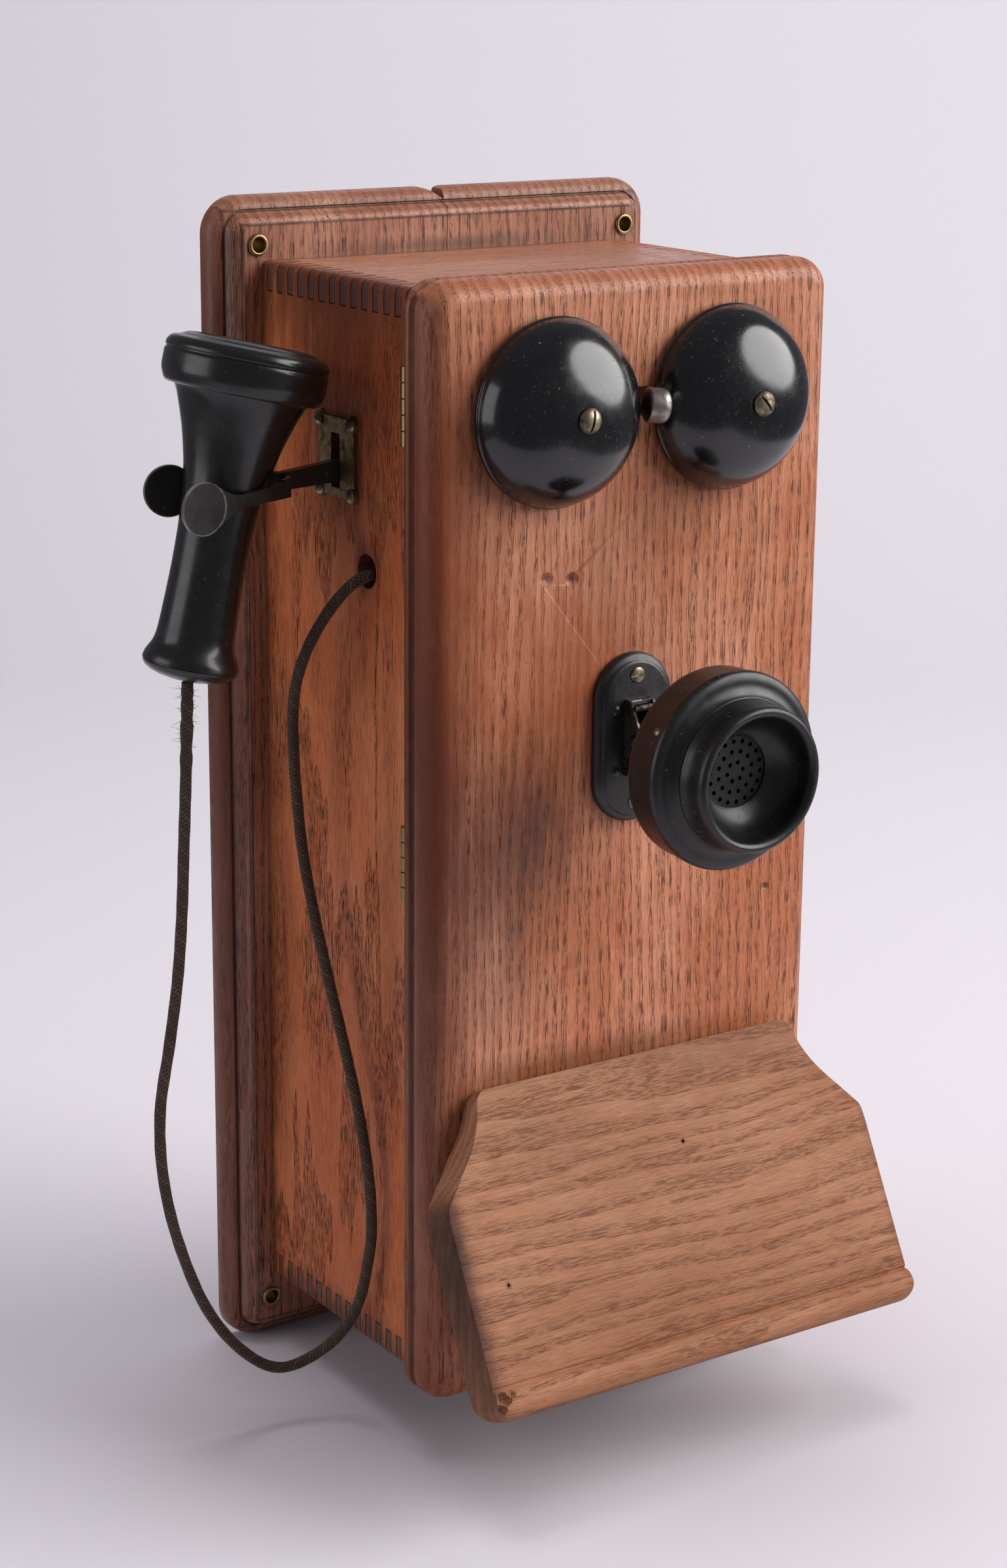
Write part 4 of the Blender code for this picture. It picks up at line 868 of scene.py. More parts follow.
plainLooks = {
    "redFibre": {"base": (0.16, 0.045, 0.025), "other": (0.09, 0.025, 0.015), "rough": 0.62, "scale": 500},
    "greenThread": {"base": (0.085, 0.14, 0.055), "other": (0.03, 0.06, 0.025), "rough": 0.75, "scale": 260},
    "carbonBlock": {"base": (0.03, 0.03, 0.031), "other": (0.06, 0.06, 0.062), "rough": 0.7, "scale": 900},
}


def plainMaterial(name, windings=None):
    # windings is the direction along which thread is wound, for the coils
    values = plainLooks[name]
    material, tree, shader, place = newMaterial(name)
    mottle = speckle(tree, place, values["scale"], 4, 0.6)
    height = mottle
    colour = blended(tree, between(tree, mottle, 0.35, 0.7), values["base"], values["other"])
    if windings:
        thread = add(
            tree, "TexWave", {"Vector": place, "Scale": 420.0, "Distortion": 0.6, "Detail": 1.0},
            wave_type="BANDS", bands_direction=windings,
        ).outputs["Fac"]
        colour = blended(
            tree, between(tree, thread, 0.5, 0.1), colour, tuple(0.35 * c for c in values["base"]),
        )
        height = plus(tree, thread, times(tree, mottle, 0.3))
    gloss = between(tree, mottle, 0.2, 0.8, values["rough"] - 0.08, values["rough"] + 0.12)
    setShader(tree, shader, {"Base Color": colour, "Roughness": gloss})
    bump(tree, shader, height, 0.5, 0.0003)
    return material


cordLook = {
    "dark": (0.022, 0.012, 0.008), "mid": (0.075, 0.043, 0.025), "light": (0.15, 0.095, 0.058), "strands": 8,
    "pitch": 0.0150, "sheen": 0.06, "sheenRough": 0.5,
}


def cordMaterial():
    # the UV map runs once round the cord in U, and in metres along it in V
    material, tree, shader, place = newMaterial("braidedCotton")
    uv = add(tree, "SeparateXYZ", {0: add(tree, "TexCoord", {}).outputs["UV"]}).outputs
    around = times(tree, uv[0], float(cordLook["strands"]))
    along = times(tree, uv[1], cordLook["strands"] / cordLook["pitch"])
    right = plus(tree, around, along)
    left = minus(tree, around, along)
    tops = [sums(tree, "ABSOLUTE", sums(tree, "SINE", times(tree, way, math.pi))) for way in (right, left)]
    both = times(tree, plus(tree, right, left), math.pi / 2)
    over = sums(tree, "GREATER_THAN", sums(tree, "SINE", both), 0.0)
    under = minus(tree, 1.0, over)
    weave = plus(tree, times(tree, tops[0], over), times(tree, tops[1], under))
    fuzz = speckle(tree, place, 2600, 3, 0.7)
    tone = speckle(tree, place, 38, 3)
    tracer = sums(tree, "LESS_THAN", sums(tree, "FRACT", times(tree, right, 0.25)), 0.22)
    colour = blended(tree, between(tree, weave, 0.2, 0.95), cordLook["dark"], cordLook["mid"])
    colour = blended(tree, times(tree, times(tree, tracer, weave), 0.5), colour, cordLook["light"])
    colour = blended(tree, times(tree, between(tree, fuzz, 0.5, 0.8), 0.5), colour, cordLook["light"])
    colour = blended(tree, between(tree, tone, 0.4, 0.7, 0.0, 0.45), colour, cordLook["dark"])
    setShader(tree, shader, {"Base Color": colour, "Roughness": between(tree, fuzz, 0.2, 0.8, 0.78, 0.95)})
    setShader(tree, shader, {"Sheen Weight": cordLook["sheen"], "Sheen Roughness": cordLook["sheenRough"]})
    bump(tree, shader, plus(tree, weave, times(tree, fuzz, 0.4)), 0.8, 0.0004)
    return material


print("mixing materials")
oak = {name: oakMaterial(name) for name in oakLooks}
black = {name: blackMaterial(name) for name in blackLooks}
metal = {name: metalMaterial(name) for name in metalLooks}
redFibre = plainMaterial("redFibre")
carbonBlock = plainMaterial("carbonBlock")
uprightThread = plainMaterial("greenThread", "Z")
sidewaysThread = plainMaterial("greenThread", "X")
braidedCotton = cordMaterial()


# the receiver's cord

cord = {
    "diameter": 4.8 * mm,
    "exit": (-0.0929, -0.1013, 0.1159),
    "points": 330,
    "sides": 16,
    "frayFrom": 0.050,
    "frayTo": 0.070,
    "swollenBelow": 0.012,  # how far under frayFrom the braid is still swollen
    "endsBelow": 0.004,
    "ends": 120,
    "thread": 0.10 * mm,
    "reaches": (0.6, 0.9, 1.2, 1.8, 2.8),
    "route": (
        (-0.0780, -0.1013, 0.1143), (-0.0860, -0.1013, 0.1143), (-0.0940, -0.1012, 0.1138),
        (-0.1004, -0.0986, 0.1092),
        (-0.1056, -0.0946, 0.1014), (-0.1094, -0.0894, 0.0916), (-0.1122, -0.0844, 0.0810),
        (-0.1135, -0.0798, 0.0696),
        (-0.1130, -0.0756, 0.0596), (-0.1121, -0.0730, 0.0490), (-0.1112, -0.0720, 0.0350),
        (-0.1105, -0.0722, 0.0205),
        (-0.1092, -0.0752, -0.0070), (-0.1072, -0.0810, -0.0345), (-0.1050, -0.0890, -0.0620),
        (-0.1030, -0.0980, -0.0890),
        (-0.1020, -0.1076, -0.1155), (-0.1010, -0.1140, -0.1430), (-0.0999, -0.1146, -0.1660),
        (-0.0997, -0.1114, -0.1835),
        (-0.1020, -0.1050, -0.2080), (-0.1110, -0.0956, -0.2270), (-0.1300, -0.0886, -0.2352),
        (-0.1480, -0.0860, -0.2234),
        (-0.1644, -0.0845, -0.1996), (-0.1762, -0.0830, -0.1672), (-0.1822, -0.0820, -0.1364),
        (-0.1824, -0.0810, -0.1076),
        (-0.1772, -0.0806, -0.0794), (-0.1726, -0.0803, -0.0516), (-0.1698, -0.0800, -0.0238),
        (-0.1682, -0.0798, 0.0040),
        (-0.1666, -0.0796, 0.0314), (-0.1654, -0.0795, 0.0586), (-0.1648, -0.0795, 0.0742),
    ),
}


def smoothRoute(route, count):
    # evenly spaced points on a smooth curve through the route
    anchors = [Vector(p) for p in route]
    anchors = [2 * anchors[0] - anchors[1], *anchors, 2 * anchors[-1] - anchors[-2]]
    dense = []
    for a, b, c, d in zip(anchors, anchors[1:], anchors[2:], anchors[3:]):
        for i in range(20):
            t = i / 20
            bend, twist = 2 * a - 5 * b + 4 * c - d, 3 * b - a - 3 * c + d
            dense.append(0.5 * (2 * b + (c - a) * t + bend * t * t + twist * t ** 3))
    dense.append(anchors[-2])
    travelled = [0.0]
    for a, b in zip(dense, dense[1:]):
        travelled.append(travelled[-1] + (b - a).length)
    points, j = [], 0
    for i in range(count):
        target = travelled[-1] * i / (count - 1)
        while j < len(dense) - 2 and travelled[j + 1] < target:
            j += 1
        points.append(
            dense[j].lerp(dense[j + 1], (target - travelled[j]) / (travelled[j + 1] - travelled[j]))
        )
    return points, travelled[-1]


def sweptTube(points, radius, sides, radii=None):
    # a ring of edges carried along the points, with U round the tube and V along it in metres
    bm = bmesh.new()
    ways = [(b - a).normalized() for a, b in zip(points, points[1:])]
    ways.append(ways[-1])
    tangents = [ways[0]] + [(a + b).normalized() for a, b in zip(ways, ways[1:-1])] + [ways[-1]]
    turn = Vector((0, 0, 1)).rotation_difference(tangents[0]).to_matrix().to_4x4()
    start = Matrix.Translation(points[0]) @ turn
    radii = radii or [1.0] * len(points)
    made = bmesh.ops.create_circle(bm, segments=sides, radius=radius * radii[0], cap_ends=True, matrix=start)
    ring = list(made["verts"])
    uv = bm.loops.layers.uv.new("UVMap")
    edges = [bm.edges.get((a, b)) for a, b in zip(ring, ring[1:] + ring[:1])]
    travelled = 0.0
    for i in range(1, len(points)):
        made = bmesh.ops.extrude_edge_only(bm, edges=edges)["geom"]
        faces = [g for g in made if isinstance(g, bmesh.types.BMFace)]
        step = (points[i] - points[i - 1]).length
        partner = {}
        for face in faces:
            for edge in face.edges:
                a, b = edge.verts
                if (a in ring) != (b in ring):
                    old, new = (a, b) if a in ring else (b, a)
                    partner[old] = new
        newRing = [partner[v] for v in ring]
        swing = tangents[i - 1].rotation_difference(tangents[i]).to_matrix().to_4x4()
        grow = radii[i] / radii[i - 1]
        move = Matrix.Translation(points[i]) @ swing @ Matrix.Scale(grow, 4)
        move = move @ Matrix.Translation(-points[i - 1])
        bmesh.ops.transform(bm, matrix=move, verts=newRing)
        order = {v: n for n, v in enumerate(ring)}
        newOrder = {v: n for n, v in enumerate(newRing)}
        for face in faces:
            places = [order.get(loop.vert, newOrder.get(loop.vert)) for loop in face.loops]
            wraps = max(places) - min(places) > 1
            for loop, n in zip(face.loops, places):
                u = (sides if wraps and n == 0 else n) / sides
                loop[uv].uv = (u, travelled + (step if loop.vert in newOrder else 0.0))
        travelled += step
        ring = newRing
        edges = [bm.edges.get((a, b)) for a, b in zip(ring, ring[1:] + ring[:1])]
    bm.faces.new(ring)
    bmesh.ops.recalc_face_normals(bm, faces=bm.faces)
    return bm


def makeCord():
    points, length = smoothRoute(cord["route"], cord["points"])
    lastHalf = points[len(points) // 2 + 1:]
    chance = random.Random(11)
    radii = []
    for i, point in enumerate(points):
        swell = 1.0 + 0.02 * math.sin(i * 0.9) + chance.uniform(-0.012, 0.012)
        if i > len(points) // 2 and cord["frayFrom"] - cord["swollenBelow"] < point.z < cord["frayTo"]:
            swell *= 1.0 + chance.uniform(-0.10, 0.16)
        radii.append(swell)
    bm = sweptTube(points, cord["diameter"] / 2, cord["sides"], radii)
    piece = finishPiece("cordCotton", bm, braidedCotton, replaces=["receiver_cord"], smoothAngle=80)
    fray = makeFray([p for p in lastHalf if cord["frayFrom"] - cord["endsBelow"] < p.z < cord["frayTo"]])
    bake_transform(piece)
    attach(fray, "receiver")
    slack = cord["exit"]
    start = min(range(len(points)), key=lambda i: (points[i] - Vector(slack)).length)
    print("cord length", round(length, 3), "of which inside the box", round(length * start / len(points), 3))


def makeFray(spots):
    # broken cotton ends where the braid has worn through below the receiver
    chance = random.Random(5)
    curve = bpy.data.curves.new("fray", "CURVE")
    curve.dimensions = "3D"
    curve.bevel_depth = cord["thread"]
    curve.bevel_resolution = 0
    for _ in range(cord["ends"]):
        root = chance.choice(spots)
        angle = chance.uniform(0, 2 * math.pi)
        out = Vector((math.cos(angle), math.sin(angle), chance.uniform(-0.6, 0.9)))
        reach = chance.choice(cord["reaches"]) * mm
        curl = Vector((chance.uniform(-1, 1), chance.uniform(-1, 1), chance.uniform(-1, 1)))
        spline = curve.splines.new("POLY")
        spline.points.add(4)
        for n, point in enumerate(spline.points):
            t = n / 4
            spot = root + out * (2.1 * mm + reach * t) + curl * reach * 0.7 * t * t
            point.co = (*spot, 1)
            point.radius = 1.0 - 0.6 * t
    drawn = bpy.data.objects.new("fray", curve)
    bpy.context.scene.collection.objects.link(drawn)
    bm = bmesh.new()
    mesh = meshFrom(drawn)
    bm.from_mesh(mesh)
    bpy.data.objects.remove(drawn)
    return finishPiece("cordFray", bm, braidedCotton, smoothAngle=80)


# backboard and box

backboard = {
    "half": (112.7 * mm, 260.0 * mm),
    "corner": 16.0 * mm,
    "profile": [
        (0.9, 0), (0.3, 0.2), (0, 0.8), (0, 4.0), (0.15, 5.4), (0.6, 6.8), (1.2, 8.0), (2.1, 9.0),
        (3.2, 9.9), (4.3, 10.35), (5.2, 10.5), (5.6, 10.2), (5.7, 9.9), (6.1, 10.0),
        (6.4, 11.2), (6.9, 12.2), (7.2, 12.6), (7.25, 13.5), (7.6, 14.5), (8.3, 15.5), (9.2, 16.4),
        (10.2, 16.95), (11.0, 17.2), (11.25, 17.5), (11.4, 18.0),
    ],
    "holeRadius": 3.8,
    "eyelet": [
        (3.15, 0.9), (3.35, 1.15), (3.7, 1.25), (4.2, 1.15), (4.55, 0.85), (4.7, 0.5), (4.7, 0.32),
        (3.6, 0.32), (3.5, 0.2),
        (3.5, -17.4), (3.1, -17.4), (3.1, 0.6),
    ],
    "eyelets": {
        "top_left": (-94.6, 240.5), "top_right": (94.6, 240.5), "bottom_left": (-94.6, -237.8),
        "bottom_right": (94.6, -237.8),
    },
    "chip": [(-7.3, 260.4), (-6.4, 259.8), (-4.8, 259.4), (-3.0, 258.6), (-1.2, 257.5), (0.4, 256.3),
             (1.7, 255.5), (2.9, 255.2), (3.1, 258.0), (3.6, 259.0), (5.0, 259.7), (7.2, 260.2), (7.2, 263),
             (-7.3, 263)],
    "splitWidth": 0.44,
    "splitThrough": [(2.3, 256.2), (1.6, 252.5), (0.3, 250)],
    "splitFace": [(0.26, 249.8), (-0.2, 247.4), (-0.1, 243), (-0.4, 238), (-0.2, 233.4)],
}


def makeBackboard():
    bm = mouldedShape(*backboard["half"], backboard["corner"], backboard["profile"], 12)
    bmesh.ops.transform(bm, matrix=toFront, verts=bm.verts)
    holes = backboard["eyelets"].values()
    bm = reshape(bm, [boreTool(x, z, 10, -30, backboard["holeRadius"]) for x, z in holes])
    chip = plateShape([inMm(backboard["chip"])], 60 * mm)
    bm = reshape(bm, [asObject(chip, lookAlong((1, 0, 0), (0, 0, 1)))])
    wide = backboard["splitWidth"] / 2
    tools = []
    for line, depth, middle in ((backboard["splitThrough"], 22, -9), (backboard["splitFace"], 1.6, -18)):
        sides = [(x - wide, z) for x, z in line] + [(x + wide, z) for x, z in reversed(line)]
        crack = plateShape([inMm(sides)], depth * mm)
        tools.append(asObject(crack, lookAlong((1, 0, 0), (0, 0, 1), (0, middle * mm, 0))))
    bm = reshape(bm, tools)
    finishPiece("backBoard", bm, oak["backOak"], "cabinet", ["backboard"])


def makeEyelets():
    for name, (x, z) in backboard["eyelets"].items():
        place = onFront(x * mm, -0.018, z * mm)
        turnedPiece(
            "eyelet" + name.title().replace("_", ""), "eyelet_" + name, backboard["eyelet"], 48,
            metal["darkBrass"], "cabinet", place, closed=True,
        )


box = {
    "soften": 0.5 * mm, "rounding": 3.6, "half": (92.9, 230.95), "middle": 3.05,
    "boards": {
        "box_left_board": "sideOak", "box_right_board": "sideOak", "box_top_board": "endOak",
        "box_bottom_board": "endOak",
    },
}


def makeBox():
    # the boards' outer corners are rounded together
    wide, high = (v - box["rounding"] for v in box["half"])
    outline = []
    for x, z, start in ((wide, high, 0), (-wide, high, 90), (-wide, -high, 180), (wide, -high, 270)):
        outline += arc((x * mm, (z + box["middle"]) * mm), box["rounding"] * mm, start, start + 90, 8)
    for node, look in box["boards"].items():
        block = asObject(plateShape([outline], 0.4), lookAlong((1, 0, 0), (0, 0, 1)))
        bm = reshape(copyShape(node), [block], "INTERSECT")
        name = node.split("_")[1] + "Board"
        finishPiece(name, bm, oak[look], "cabinet", [node], soften=box["soften"])


# hinges

hinge = {
    "levels": {"upper": 188.5, "lower": 1.0},
    "pinTop": (-0.096, -0.137, 16.6 * mm),
    "pin": [(0, 0.55), (0.6, 0.42), (0.98, 0.1), (1.1, -0.3), (1.1, -32.9), (0.98, -33.3), (0.6, -33.6),
            (0, -33.75)],
}


def makeHinges():
    for part, body in (("box", "cabinet"), ("door", "door")):
        for level in hinge["levels"]:
            copyPiece(
                f"hinge{level}{part.title()}Leaf", f"hinge_{level}_{part}_leaf", metal["darkBrass"], body,
                0.15,
            )
    for level, z in hinge["levels"].items():
        place = Matrix.Translation(Vector(hinge["pinTop"]) + Vector((0, 0, z * mm)))
        turnedPiece(
            "hingePin" + level.title(), f"hinge_{level}_pin", hinge["pin"], 24, metal["darkSteel"],
            "cabinet", place,
        )


# door

door = {
    "half": (99.55 * mm, 236.35 * mm),
    "middle": 2.15 * mm,
    "corner": 13.0 * mm,
    "back": -140.0 * mm,
    "face": -160.0,
    "rodSlot": ((-0.005, -0.17, 0.18), (0.005, -0.13, 0.192)),
    "hingeRebate": ((-98.2, -141.4), (-81.0, -135.0), 16.3),
    "postHoles": ((-43.2, 185.0), (43.2, 185.0)),
    "postRadius": 5.4,
    "dents": ((-44.4, 117.7, 3.4), (-32.2, 116.4, 3.6), (73.2, -31.1, 2.2)),
    "profile": [
        (0.6, 0), (0.15, 0.2), (0, 0.7), (0, 2.3), (0.25, 2.9), (0.8, 3.3), (1.4, 3.6), (1.5, 4.2),
        (1.5, 5.6), (1.3, 6.2), (0.8, 6.8), (0.25, 7.3), (0, 8.2),
        (0, 10.4), (0.2, 12.0), (0.75, 13.7), (1.5, 15.3), (2.6, 16.9), (3.9, 18.2), (5.3, 19.2),
        (6.9, 19.8), (8.2, 19.97), (9.5, 20.0),
    ],
}


def makeDoor():
    bm = mouldedShape(*door["half"], door["corner"], door["profile"], 12)
    bmesh.ops.transform(bm, matrix=onFront(0, door["back"], door["middle"]), verts=bm.verts)
    tools = [boxTool(*door["rodSlot"])]
    low, high, reach = door["hingeRebate"]
    for z in hinge["levels"].values():
        tools.append(boxTool(Vector((*low, z - reach)) * mm, Vector((*high, z + reach)) * mm))
    for x, z in door["postHoles"]:
        tools.append(boreTool(x, z, -170, -154, door["postRadius"]))
    for x, z, size in door["dents"]:
        tools.append(dentTool(x, z, size))
    finishPiece("doorBoard", reshape(bm, tools), oak["doorOak"], "door", ["door_panel"])


def dentTool(x, z, size):
    # a shallow knock in the door's face
    bm = bmesh.new()
    bmesh.ops.create_uvsphere(bm, u_segments=24, v_segments=12, radius=size * 1.6 * mm)
    bmesh.ops.scale(bm, vec=(1, 1, 0.8), verts=bm.verts)
    bmesh.ops.translate(bm, vec=(x * mm, (door["face"] - size * 1.22) * mm, z * mm), verts=bm.verts)
    return asObject(bm)


# writing shelf

shelf = {
    "top": (0.0, -0.1673, -0.0912),
    "slope": 27.6,
    "half": 109.0,
    "neck": 81.7,
    "length": 132.0,
    "nose": [(-20, 0), (-0.5, 0), (-0.1, 0.15), (0, 0.6), (0, 117.0), (-0.35, 117.6), (-0.9, 118.1),
             (-0.7, 118.6)]
    + [(0.5, 119.2), (1.5, 120.1), (2.3, 121.4), (2.8, 122.8), (2.95, 124.2), (2.8, 125.8), (2.3, 127.4),
       (1.4, 129.0), (0.2, 130.3), (-1.4, 131.3), (-3.4, 131.9)]
    + [(-7, 132.2), (-11, 131.7), (-14, 130.6), (-16.6, 128.8), (-18.4, 126.4), (-19.5, 123.6), (-20, 120)],
    "bruises": ((-106.5, 122.5, 2.6, 3.4), (-102.8, 121.0, 2.9, 2.2), (-108.5, 126.5, 1.6, 2.6)),
    "nails": ((-0.0898, -0.1617), (0.0115, -0.1274)),
}


def shelfPlace():
    slope = math.radians(shelf["slope"])
    return lookAlong((-1, 0, 0), (0, -math.sin(slope), -math.cos(slope)), shelf["top"])


def shelfOutline():
    neck, half, length = shelf["neck"], shelf["half"], shelf["length"]
    shoulder = ease([(neck - 5, 0), (neck - 2, 0.5), (neck + 1, 4), (neck + 2.2, 10), (neck + 5.6, 18),
                     (neck + 11, 26), (neck + 18, 34), (half - 3, 41.5), (half - 0.4, 44.5), (half, 52)], 2)
    right = shoulder + [(half, 118)] + arc((half - 9, 124), 9, 0, 66, 8) + [(half - 9, length + 6)]
    return inMm(right + [(-x, y) for x, y in reversed(right)])


def makeShelf():
    place = shelfPlace()
    lay = place @ lookAlong((0, 0, 1), (0, 1, 0))
    slab = plateShape([inMm(shelf["nose"])], 0.24)
    bmesh.ops.transform(slab, matrix=lay, verts=slab.verts)
    trim = asObject(plateShape([shelfOutline()], 0.08), place)
    slab = reshape(slab, [trim], "INTERSECT")
    tools = [boxTool((-0.2, -0.1603, -0.3), (0.2, 0.05, 0.1))]  # all that lies behind the door's face
    # a bruise broken out of the bead's left end, and two nail holes
    chance = random.Random(8)
    for x, u, t, size in shelf["bruises"]:
        tools.append(lumpTool(place @ Vector((-x * mm, u * mm, t * mm)), size, chance))
    for x, z in shelf["nails"]:
        down = (shelf["top"][2] - z) / math.cos(math.radians(shelf["slope"]))
        ends = [place @ Vector((-x, down, rise * mm)) for rise in (-0.8, 2)]
        tools.append(rodTool(*ends, 0.8 * mm, 12))
    finishPiece(
        "shelfBoard", reshape(slab, tools), oak["shelfOak"], "door", ["writing_shelf"], soften=0.55 * mm,
    )
    for side in ("left", "right"):
        copyPiece("bracket" + side.title(), "shelf_bracket_" + side, oak["sideOak"], "door", 0.6)


def lumpTool(spot, size, chance):
    bm = bmesh.new()
    bmesh.ops.create_icosphere(bm, subdivisions=3, radius=size * mm)
    for vert in bm.verts:
        vert.co *= 1 + chance.uniform(-0.12, 0.12)
    bmesh.ops.translate(bm, vec=spot, verts=bm.verts)
    return asObject(bm)


# bell

bell = {
    "gongX": 43.2, "gongZ": 185.0, "rimY": -162.5,
    "dome": ease([(2.75, 23.6), (6, 23.55), (12, 22.9), (19, 21.4), (26, 18.5), (31.6, 14.2), (35.3, 9.2),
                  (37.0, 5.2), (37.6, 2.6)], 3),
    "rim": [(37.75, 2.1), (38.15, 1.75), (38.3, 1.3), (38.3, 0.25), (38.1, 0), (36.5, 0), (36.3, 0.2)],
    "hollow": ease([(36.2, 1.0), (35.6, 4.2), (33.6, 8.4), (29.6, 12.9), (24.2, 16.9), (17.5, 19.6),
                    (9, 21.3), (2.75, 21.8)], 2),
    "screwTurn": {"left": 78, "right": -52},
}


def screwShape(radius, dome, shank, length, slotWidth, slotDepth, slotTurn, steps=48):
    # a turned head on its shank, with the slot cut across it; the head's underside is at 0
    head = [(0, dome), (0.3 * radius, 0.97 * dome), (0.55 * radius, 0.86 * dome),
            (0.78 * radius, 0.64 * dome), (0.93 * radius, 0.36 * dome), (radius, 0.1 * dome),
            (0.98 * radius, 0)]
    bm = turnedShape(ease(head, 1) + [(shank, 0), (shank, -length), (0, -length)], steps)
    low = Vector((-2 * radius, -slotWidth / 2, dome - slotDepth)) * mm
    high = Vector((2 * radius, slotWidth / 2, dome + 2)) * mm
    slot = boxTool(low, high, Matrix.Rotation(math.radians(slotTurn), 4, "Z"))
    return reshape(bm, [slot])


def makeBell():
    for side, x in (("left", -bell["gongX"]), ("right", bell["gongX"])):
        place = onFront(x * mm, bell["rimY"] * mm, bell["gongZ"] * mm)
        shell = bell["dome"] + bell["rim"] + bell["hollow"]
        turnedPiece(
            "gong" + side.title(), "gong_" + side, shell, 160, black["gongEnamel"], "door", place,
            closed=True,
        )
        screw = screwShape(5.2, 3.0, 2.2, 10.5, 1.15, 1.7, bell["screwTurn"][side])
        finishPiece(
            "gongScrew" + side.title(), screw, metal["screwMetal"], "door", ["gong_screw_" + side],
            place=place @ Matrix.Translation((0, 0, 23.9 * mm)), soften=0.12 * mm,
        )
        post = [(0, 12), (2.7, 12), (2.7, 21.1), (2.9, 21.3), (4.8, 21.3), (5, 21.1), (5, 0), (6.2, -0.4),
                (8.2, -0.8), (8.6, -1.2), (8.6, -2.2), (5, -2.2), (5, -7), (0, -7)]
        turnedPiece(
            "gongPost" + side.title(), "gong_post_" + side, post, 48, metal["plainSteel"], "door", place,
        )


hammer = {"head": (-2.2, -174.5, 186.4), "radius": 7.15, "half": 5.1, "tilt": 5.0, "turn": -19.0}


def makeHammer():
    r, h = hammer["radius"], hammer["half"]
    drum = [(0, h - 0.1), (2.0, h), (r - 2.9, h), (r - 1.9, h - 0.25), (r - 1.0, h - 0.85),
            (r - 0.35, h - 1.8), (r - 0.05, h - 2.9), (r, h - 3.6)]
    drum += [(r, 1.8 - h), (r - 0.1, 1.4 - h), (r - 0.35, 1.1 - h), (r - 0.8, 0.9 - h), (2.0, 0.9 - h),
             (0, 1.0 - h)]
    turn = Matrix.Rotation(math.radians(hammer["turn"]), 4, "Z")
    turn = turn @ Matrix.Rotation(math.radians(90 + hammer["tilt"]), 4, "Y")
    place = Matrix.Translation(Vector(hammer["head"]) * mm) @ turn
    turnedPiece("hammerDrum", "hammer_head", drum, 96, metal["wornNickel"], "hammer", place)
    route = [Vector(p) * mm for p in ((0, -120, 135.3), (0, -120, 160), (0, -120, 172), (0, -121, 179),
                                      (0, -124.5, 184), (0, -130, 186), (0, -150, 186),
                                      (-2.2, -166.2, 186.4))]
    finishPiece(
        "hammerWire", sweptTube(smoothRoute(route, 60)[0], 1.2 * mm, 16), metal["plainSteel"], "hammer",
        ["hammer_rod"], smoothAngle=60,
    )
    copyPiece("hammerArmature", "ringer_armature", metal["darkSteel"], "hammer", 0.3)


# transmitter

transmitter = {
    "x": -2.0, "z": 48.0, "baseZ": 47.0, "pivotY": -173.0, "cupY": -212.0,
    "base": [
        (4.9, 3.4), (2.9, 2.4), (1.8, 0.3), (1.6, 0), (0.4, 0), (0.1, 0.15), (0, 0.5), (0, 1.4),
        (0.15, 2.2), (0.55, 2.9), (1.2, 3.5), (1.9, 3.8), (2.5, 3.95),
        (2.9, 4.2), (3.2, 4.6), (3.6, 4.9), (4.3, 5.0),
    ],
    "cup": [(40.0, 15.4), (40.0, 14.8), (39.85, 14.2), (39.85, 4.2), (39.7, 2.4), (39.2, 1.2), (38.2, 0.3),
            (36.6, -0.5)]
    + ease([(35.4, -1.1), (30, -4.1), (24, -7.3), (18, -9.9), (11.5, -11.6), (0, -12)], 2)
    + [(0, -9.8), (11.6, -9.4), (19.4, -6.8), (29, -2), (36.6, 2.4), (37.6, 4.6), (37.6, 15.4)],
    "face": [(23.2, 22.8), (23.3, 23.2), (23.6, 23.3), (30.75, 23.3)]
    + ease([(31.0, 23.15), (31.9, 22.0), (33.4, 21.0), (35.2, 20.5), (37.4, 20.4), (39.2, 19.9),
            (40.4, 18.9), (40.7, 17.6)], 2)
    + [(40.7, 16.1), (40.5, 15.75), (37.8, 15.7), (37.6, 17.6), (28.0, 18.4), (23.2, 19.0)],
    "mouth": ease([(24.6, 32.0), (25.1, 34.4), (25.9, 36.0), (27.2, 36.7), (28.6, 36.5), (29.5, 35.5),
                   (29.85, 34.0), (29.7, 31.0), (29.7, 28.2), (30.0, 26.0), (30.8, 23.8)], 2)
    + [(30.7, 23.6), (22.9, 23.55), (22.8, 23.4), (22.8, 19.2), (14.75, 19.2), (14.6, 19.4)]
    + ease([(14.6, 19.9), (15.6, 20.6), (17.8, 21.7), (20.4, 23.7), (22.6, 26.6), (23.9, 29.4)], 2),
    "grille": ((3.9, 6, 10.5), (8.4, 12, 13.0), (12.6, 18, 15.0)), "holeRadius": 0.95,
    "rivets": ((-10.3, 13), (10.3, 13), (-10.3, -13), (10.3, -13)),
    "rimScrews": (150, 236, 330, 60), "rimScrewAt": (39.8, 0, 13.2),
}


